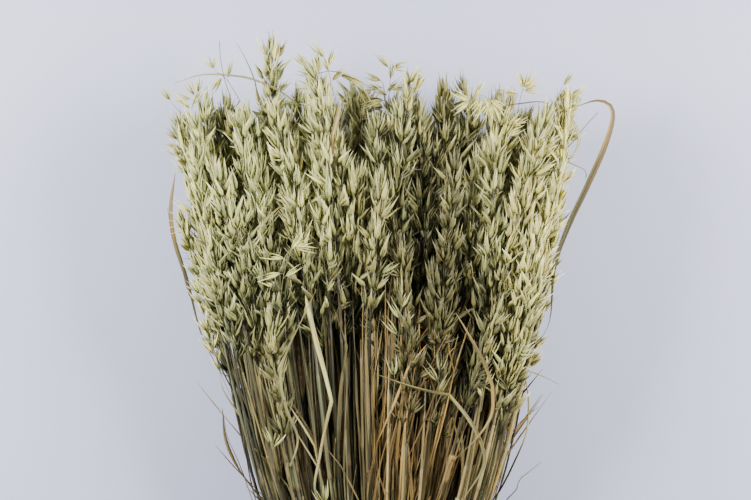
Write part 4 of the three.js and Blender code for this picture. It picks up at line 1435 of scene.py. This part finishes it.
sprays = {
    "left_outer": {
        "stem": [(-204, 688, 84), (-216, 704, 88), (-225, 714, 89)], "look": (0.8, 0.5),
        "spikelets": [(1, 121, 0.17)],
    },
    "left_crown": {
        "stem": [(-205, 690, 88), (-203, 712, 92), (-198, 722, 93)], "look": (0.85, 0.6),
        "spikelets": [(1, 82, 0.15), (0.9, 122, 0.2), (0.8, 172, 0.2), (0.6, 60, 0.1), (0.5, 140, 0.1)],
    },
    "left_high": {
        "stem": [(-150, 716, 100), (-165, 740, 104), (-176, 748, 105)], "look": (0.8, 0.6),
        "spikelets": [(1, 114, 0.4), (0.75, 232, 0.2), (0.6, 80, 0.1)],
    },
    "beside_tallest": {
        "stem": [(-60, 700, 110), (-66, 726, 113), (-74, 750, 112)], "look": (0.75, 0.35),
        "spikelets": [(1, 137, 0.2), (0.8, 157, 0.2), (0.55, 166, 0.2), (0.4, 35, 0.15), (0.2, 120, 0.2)],
    },
    "left_centre": {
        "stem": [(-48, 722, 115), (-54, 750, 115), (-57, 760, 114)], "look": (0.8, 0.6),
        "spikelets": [(1, 129, 0.24), (0.75, 70, 0.1), (0.6, 110, 0.15), (0.35, 45, 0.15)],
    },
    "drooping": {
        "stem": [(-54, 748, 114), (-36, 745, 113), (-20, 730, 111)], "look": (0.6, 0.8),
        "spikelets": [(0.2, -25, 0.1), (0.5, -35, 0.12), (0.8, -48, 0.12), (1, -60, 0.12)],
    },
    "centre_arch": {
        "stem": [(8, 690, 111), (8, 718, 113), (5, 736, 112)], "look": (0.55, 0.6),
        "spikelets": [
            (1, 160, 0.15), (0.85, 180, 0.15), (0.7, 40, 0.12), (0.55, 196, 0.1), (0.4, 172, 0.12),
        ],
    },
    "shadowed": {
        # painted shade: these spikelets lie in shade and are toned dark
        "stem": [(12, 650, 106), (9, 690, 107), (7, 722, 106)], "look": (0.18, 0.8),
        "spikelets": [
            (0.45, 184, 0.1), (0.58, 178, 0.15), (0.7, 188, 0.1), (0.8, 175, 0.15), (0.92, 183, 0.1),
        ],
    },
    "centre_crown": {
        "stem": [(10, 706, 114), (13, 735, 115), (12, 750, 114)], "look": (0.65, 0.5),
        "spikelets": [(1, 127, 0.14), (1, 2, 0.3), (0.7, 80, 0.1), (0.45, 12, 0.08), (0.3, 150, 0.1)],
    },
    "olive": {
        "stem": [(86, 680, 111), (90, 708, 114), (93, 722, 113)], "look": (0.15, 0.55),
        "spikelets": [(1, 113, 0.1), (1, 96, 0.06), (0.8, 124, 0.14), (0.6, 75, 0.1), (0.4, 130, 0.1)],
    },
    "nodding": {
        "stem": [(96, 680, 118), (99, 708, 126), (108, 722, 130), (120, 716, 130)], "look": (1.15, 0.65),
        "spikelets": [
            (1, 240, 0.16), (1, 266, 0.12), (1, 284, 0.16), (1, 304, 0.12), (0.85, 228, 0.14),
            (0.8, 256, 0.1),
            (0.9, 292, 0.1), (0.6, 214, 0.15), (0.55, 148, 0.12), (0.65, 62, 0.12), (0.95, 330, 0.14),
        ],
    },
    "right_crown": {
        "stem": [(150, 690, 106), (154, 716, 108), (157, 728, 108)], "look": (0.8, 0.85),
        "spikelets": [(1, 102, 0.1), (1, 62, 0.18), (1, 35, 0.2), (0.95, 4, 0.2), (0.8, 168, 0.1)],
    },
    "right_slender": {
        "stem": [(182, 688, 95), (192, 712, 97), (200, 730, 97)], "look": (0.75, 0.6),
        "spikelets": [(1, 52, 0.1), (0.6, 45, 0.1), (0.3, 30, 0.1)],
    },
    "right_outer": {
        "stem": [(178, 672, 94), (194, 692, 96), (206, 706, 95)], "look": (0.7, 0.7),
        "spikelets": [(1, 38, 0.15), (0.8, 12, 0.14), (0.6, 55, 0.1), (0.5, -24, 0.1)],
    },
    "right_side": {
        "stem": [(176, 598, 86), (186, 620, 88), (196, 640, 88)], "look": (0.6, 0.6),
        "spikelets": [(0.5, 50, 0.1), (1, 78, 0.14), (0.8, 32, 0.1)],
    },
    "front_low": {
        "stem": [(-112, 300, 90), (-114, 325, 98), (-115, 340, 102)], "look": (0.5, 0.5),
        "spikelets": [(1, 116, 0.12), (0.9, 62, 0.3)],
    },
    "front_lowest": {
        "stem": [(-62, 236, 81), (-58, 262, 88), (-57, 276, 92)], "look": (0.5, 0.4),
        "spikelets": [(1, 92, 0.15), (0.8, 120, 0.12)],
    },
    "centre_small": {
        "stem": [(21, 450, 123), (24, 478, 128), (25, 500, 130)], "look": (0.6, 0.3),
        "spikelets": [
            (0.2, 130, 0.15), (0.35, 52, 0.15), (0.55, 118, 0.12), (0.75, 68, 0.12), (1, 95, 0.12),
        ],
    },
    "centre_single": {
        "stem": [(14, 380, 117), (17, 402, 122), (18, 414, 124)], "look": (0.75, 0.2),
        "spikelets": [(1, 100, 0.28)],
    },
    "centre_dark": {
        "stem": [(60, 370, 116), (64, 400, 123), (66, 420, 126)], "look": (0.25, 0.6),
        "spikelets": [(1, 80, 0.34), (0.8, 125, 0.12), (0.5, 60, 0.12)],
    },
    "right_small": {
        "stem": [(112, 380, 112), (119, 430, 117), (127, 478, 120)], "look": (0.6, 0.75),
        "spikelets": [
            (0.1, 105, 0.12), (0.25, 62, 0.12), (0.4, 100, 0.12), (0.55, 65, 0.12), (0.7, 98, 0.12),
            (0.85, 70, 0.12), (1, 84, 0.12),
        ],
    },
    "left_side": {
        "stem": [(-184, 556, 80), (-198, 574, 82), (-206, 584, 82)], "look": (0.75, 0.4),
        "spikelets": [(1, 165, 0.2), (0.8, 190, 0.15), (0.5, 120, 0.2)],
    },
    "left_middle": {
        "stem": [(-181, 520, 74), (-190, 552, 79), (-196, 582, 81)], "look": (1.1, 0.5),
        "spikelets": [
            (0, 116, 0.12), (0.1, 84, 0.12), (0.2, 132, 0.14), (0.3, 76, 0.1), (0.4, 104, 0.1),
            (0.5, 82, 0.12),
            (0.6, 140, 0.14), (0.7, 72, 0.1), (0.8, 112, 0.1), (0.9, 80, 0.12), (1, 96, 0.12),
            (1, 128, 0.12),
        ],
    },
    "left_lower": {
        "stem": [(-173, 418, 68), (-186, 462, 75), (-195, 505, 79)], "look": (1.1, 0.5),
        "spikelets": [
            (0, 118, 0.12), (0.1, 90, 0.12), (0.2, 130, 0.14), (0.3, 82, 0.1), (0.4, 112, 0.1),
            (0.5, 126, 0.14),
            (0.55, 86, 0.12), (0.7, 110, 0.1), (0.75, 80, 0.12), (0.85, 128, 0.12), (0.95, 88, 0.1),
            (1, 114, 0.15),
        ],
    },
    "left_fan": {
        "stem": [(-106, 500, 124), (-101, 530, 131), (-93, 556, 135)], "look": (0.95, 0.45),
        "spikelets": [
            (1, 18, 0.12), (1, -10, 0.14), (0.75, 172, 0.12), (0.5, 196, 0.1), (0.4, 34, 0.12),
            (0.2, 158, 0.12),
            (0.9, 60, 0.1),
        ],
    },
}


sprayLook = {
    "roll": (0.15, 0.75),  # radians by which a spikelet is turned from lying on its edge
    "slimness": 0.85,  # share of a head's spikelets' width
    "younger": 0.15,
    "stemRadius": (0.55, 0.3),
}


def rootOf(start):  # the nearest point of a stem or rachis that lies lower along the sheaf
    axes = np.vstack(grownAxes)
    axes = axes[axes[:, 1] < start[1]]
    return axes[np.argmin(np.linalg.norm(axes - start, axis=1))]


def buildSprays():
    for order, (name, spray) in enumerate(sprays.items()):
        rng = np.random.default_rng(820 + order)
        heap = newHeap()
        path = smoothPath(spray["stem"], 9)
        tone, age = spray["look"]
        age -= sprayLook["younger"]
        twig = np.vstack([np.linspace(rootOf(path[0]), path[0], 4)[:-1], path])
        radii = np.linspace(*sprayLook["stemRadius"], len(twig))
        pileTube(heap, twig, radii, 4, (0.7 * tone, age, 0), 1, rng.uniform())
        total = lengthsAlong(path)[-1]
        points, bases, headings, openings = [], [], [], []
        for share, degrees, opening in spray["spikelets"]:
            point, way = alongPath(path, share * total)
            angle = math.radians(degrees)
            heading = unit(np.array([math.cos(angle), math.sin(angle), rng.uniform(-0.12, 0.12)]))
            points.append(point)
            bases.append(point + unit(way + 2 * heading) * rng.uniform(2.5, 5))
            headings.append(heading)
            openings.append(opening)
        count = len(points)
        points, bases, headings = np.array(points), np.array(bases), np.array(headings)
        aside = unit(np.cross([0.0, 0.0, 1.0], headings))
        roll = rng.uniform(*sprayLook["roll"], (count, 1)) * rng.choice((-1, 1), (count, 1))
        broads = np.cos(roll) * np.cross(headings, aside) + np.sin(roll) * aside
        tones = tone + rng.normal(0, 0.08, count)
        ages = age + rng.normal(0, 0.1, count)
        seeds = rng.uniform(0, 1, count)
        pileSpikelets(
            heap, "fine", bases, headings, broads, rng.uniform(*spikelet["length"], count),
            sprayLook["slimness"] * rng.uniform(*spikelet["halfWidth"], count),
            np.array(openings), tones, ages, seeds,
        )
        pilePedicels(heap, points, bases + headings * 0.8, tones, ages, seeds)
        finishPiece(f"spray_{name}", heap, (chaff, culm))


# Wisps: narrow leaves and bare twigs that stand out of the sheaf. look is tone and age.
wisps = {
    "left_crown_leaf": {
        "width": 2.8, "fullAt": 0.35, "look": (0.85, -0.2), "twist": 0.3,
        "route": [
            (-86, 712, 100), (-108, 728, 104), (-128, 737, 106), (-150, 743, 107), (-190, 745, 104),
            (-222, 736, 98),
        ],
    },
    "left_crown_twig": {
        "width": 0.9, "fullAt": 0.1, "look": (0.1, 0.2), "twist": 0.2,
        "route": [(-160, 716, 98), (-167, 740, 104), (-171, 762, 108), (-172, 781, 110)],
    },
    "left_crown_barb": {
        "width": 1.3, "fullAt": 0.5, "look": (0.3, 0.3), "twist": 0.2,
        "route": [(-128, 712, 100), (-134, 738, 105), (-143, 760, 108), (-153, 778, 109)],
    },
    "orange_tip": {
        "width": 7.5, "fullAt": 0.72, "look": (0.4, 0.75), "twist": -0.2,
        "route": [(-52, 632, 122), (-50, 660, 134), (-45, 688, 141), (-39, 712, 143)],
    },
    "right_twig": {
        "width": 1.2, "fullAt": 0.2, "look": (0.0, 0.2), "twist": 0.3,
        "route": [
            (186, 632, 88), (199, 657, 92), (213, 672, 94), (218, 679, 95), (227, 690, 96),
            (240, 704, 96),
        ],
    },
    "right_barb": {
        "width": 1.2, "fullAt": 0.3, "look": (0.05, 0.2), "twist": 0.3,
        "route": [(180, 660, 90), (196, 653, 92), (207, 650, 92), (226, 641, 92), (227, 632, 92)],
    },
    "right_green": {
        "width": 4.6, "fullAt": 0.6, "look": (0.75, -0.1), "twist": 0.6,
        "route": [
            (192, 700, 94), (208, 697, 97), (215, 688, 98), (219, 675, 98), (216, 664, 97),
            (210, 655, 96),
        ],
    },
    "right_level": {
        "width": 1.4, "fullAt": 0.5, "look": (0.1, 0.4), "twist": 0.2,
        "route": [(186, 712, 104), (173, 715, 110), (156, 713, 113), (140, 711, 114), (130, 708, 112)],
    },
    "lower_right_twig": {
        "width": 1.6, "fullAt": 0.3, "look": (0.15, 0.6), "twist": 1.0,
        "route": [(130, 326, 66), (144, 347, 68), (152, 358, 69), (163, 370, 70), (177, 381, 70)],
    },
    "side_twig": {
        "width": 2.0, "fullAt": 0.35, "look": (0.4, 0.7), "twist": 0.8,
        "route": [(142, 420, 66), (160, 421, 68), (173, 418, 68), (187, 412, 68), (201, 405, 67)],
    },
    "low_twig": {
        "width": 2.4, "fullAt": 0.35, "look": (0.0, 0.3), "twist": 2.2,
        "route": [
            (126, 250, 56), (141, 275, 58), (153, 288, 59), (157, 300, 60), (167, 308, 60),
            (180, 319, 60),
        ],
    },
    "left_yellow": {
        "width": 3.6, "fullAt": 0.5, "look": (0.45, 0.35), "twist": 0.9,
        "route": [(-134, 340, 62), (-150, 369, 65), (-164, 389, 66), (-172, 404, 66), (-175, 418, 65)],
    },
    "left_low": {
        "width": 2.2, "fullAt": 0.4, "look": (0.15, 0.4), "twist": 1.4,
        "route": [
            (-132, 255, 54), (-143, 290, 57), (-155, 322, 60), (-166, 346, 62), (-169, 362, 62),
            (-172, 378, 61),
        ],
    },
    "left_dark": {
        "width": 3.4, "fullAt": 0.6, "look": (-0.1, 0.3), "twist": 2.0,
        "route": [(-128, 255, 56), (-138, 290, 60), (-144, 318, 62), (-148, 345, 63), (-151, 371, 62)],
    },
    "right_rim": {
        "width": 5.5, "fullAt": 0.5, "look": (1.6, 0.5), "twist": 0.1,
        "route": [
            (114, 250, 68), (127, 290, 76), (141, 338, 81), (153, 386, 84), (165, 430, 86),
            (177, 470, 86),
        ],
    },
    "right_rim_inner": {
        "width": 5, "fullAt": 0.4, "look": (1.2, 0.4), "twist": 0.4,
        "route": [(108, 248, 66), (120, 290, 73), (133, 336, 78), (144, 380, 80), (154, 425, 82)],
    },
    "right_rim_low": {
        "width": 4.5, "fullAt": 0.5, "look": (0.9, 0.45), "twist": -0.3,
        "route": [(104, 240, 64), (114, 285, 70), (125, 332, 74), (135, 378, 76), (146, 440, 79)],
    },
    "left_olive": {
        "width": 5, "fullAt": 0.45, "look": (0.5, 0.35), "twist": 0.6,
        "route": [(-130, 548, 118), (-127, 574, 128), (-116, 590, 132), (-103, 603, 131)],
    },
    "left_tail": {
        "width": 1.8, "fullAt": 0.4, "look": (0.0, 0.1), "twist": 0.8,
        "route": [(-206, 500, 62), (-215, 530, 66), (-224, 556, 68), (-229, 580, 68), (-232, 600, 67)],
    },
}


def buildWisps():
    for order, (name, wisp) in enumerate(wisps.items()):
        path = smoothPath([rootOf(wisp["route"][0]), *wisp["route"]], 16)
        widths = leafWidths(wisp["width"], wisp["fullAt"], len(path))
        turns = 0.3 + np.linspace(0, wisp["twist"], len(path))
        folds = 0.5 + 0.2 * np.sin(np.linspace(0, 6, len(path)) + order)
        tints = np.zeros((len(path), 3))
        tints[:, :2] = wisp["look"]
        heap = newHeap()
        pileStrip(heap, path, widths, turns, folds, tints, 0, 0.07 * order)
        finishPiece(f"wisp_{name}", heap, (bladeSkin,))


buildSprays()
buildWisps()
print("sprays and wisps set")


# Twine: two plies twisted together, four turns round the sheaf, and a small knot with two trimmed ends

twine = {
    "turns": 4,
    "thickness": 3.0,
    "halfWidth": 47,
    "halfDepth": 23.4,
    "squareness": 3.3,
    "plyRadius": 0.86,
    "plyOffset": 0.7,
    "twistLength": 7.5,
    "step": 1.1,
    "knotAcross": 10,
    "knotSize": (2.3, 1.75, 2.0),
    "ends": ((-3, 0.5), (4, -0.6)),  # how far each stands aside, and the turn of its way
    "endLength": 15,
}


def pileTwine(heap, path, rng):
    count = max(8, int(lengthsAlong(path)[-1] / twine["step"]))
    path = evenPath(path, count)
    along = lengthsAlong(path)
    tangents = unit(np.gradient(path, axis=0))
    # Axes are carried along the path, so that the plies don't jump where it turns over
    side = np.zeros_like(path)
    side[0] = unit(np.cross(tangents[0], [0.13, 0.21, 0.97]))
    for k in range(1, count):
        carried = side[k - 1] - tangents[k] * np.dot(side[k - 1], tangents[k])
        side[k] = unit(carried)
    rise = np.cross(side, tangents)
    sides = 5
    turn = 2 * math.pi * np.arange(sides) / sides
    for ply in (0, math.pi):
        angle = 2 * math.pi * along / twine["twistLength"] + ply
        centre = path + twine["plyOffset"] * (np.cos(angle)[:, None] * side + np.sin(angle)[:, None] * rise)
        verts = centre[:, None] + twine["plyRadius"] * spokes(turn, side, rise)
        grain = np.zeros((count, sides, 3))
        grain[..., 0] = np.abs(turn - math.pi)[None] * twine["plyRadius"] + along[:, None] * 0.35
        grain[..., 1] = along[:, None]
        grain[..., 2] = rng.uniform()
        tint = np.zeros((count, sides, 3))
        tint[..., 0] = 0.5
        tint[..., 1] = 0.5
        # painted shade: each ply is darker on the side that faces the other ply
        tint[..., 2] = 0.5 - 0.5 * np.cos(turn[None] - angle[:, None])
        pileRings(heap, verts, centre, grain, tint, 0)


def buildTwine():
    rng = np.random.default_rng(9)
    heap = newHeap()
    middle = fanAt(sheaf["tieAlong"], 3)
    angle = np.linspace(0, twine["turns"] * 2 * math.pi, 3000) + math.pi / 2
    power = 2 / twine["squareness"]
    half = twine["thickness"] / 2
    x = (twine["halfWidth"] + half) * np.sign(np.cos(angle)) * np.abs(np.cos(angle)) ** power
    z = middle + (twine["halfDepth"] + half) * np.sign(np.sin(angle)) * np.abs(np.sin(angle)) ** power
    band = (twine["turns"] - 1) * twine["thickness"] / 2
    y = np.linspace(-band, band, len(angle)) + sheaf["tieAlong"]
    pileTwine(heap, np.stack([x, y, z], axis=1), rng)
    top = middle + twine["halfDepth"] + twine["thickness"]
    t = np.linspace(0, 2 * math.pi, 240)
    sizeX, sizeY, sizeZ = twine["knotSize"]
    knot = np.stack([
        twine["knotAcross"] + sizeX * (np.sin(t) + 2 * np.sin(2 * t)),
        sheaf["tieAlong"] + sizeY * (np.cos(t) - 2 * np.cos(2 * t)),
        top + 0.8 - sizeZ * np.sin(3 * t),
    ], axis=1)
    pileTwine(heap, knot, rng)
    for aside, turnBy in twine["ends"]:
        start = np.array([twine["knotAcross"] + aside * 0.4, sheaf["tieAlong"], top + 0.5])
        way = np.array([-math.sin(turnBy), math.cos(turnBy), 0.12])
        points = []
        for s in (0, 0.35, 0.7, 1):
            points.append(start + way * twine["endLength"] * s - np.array([0, 0, 3.0 * s * s]))
        pileTwine(heap, smoothPath(points, 20), rng)
    finishPiece("twine_wound", heap, (jute,), ("twine_tie",), rest["twineSoften"])


buildTwine()
print("twine wound")
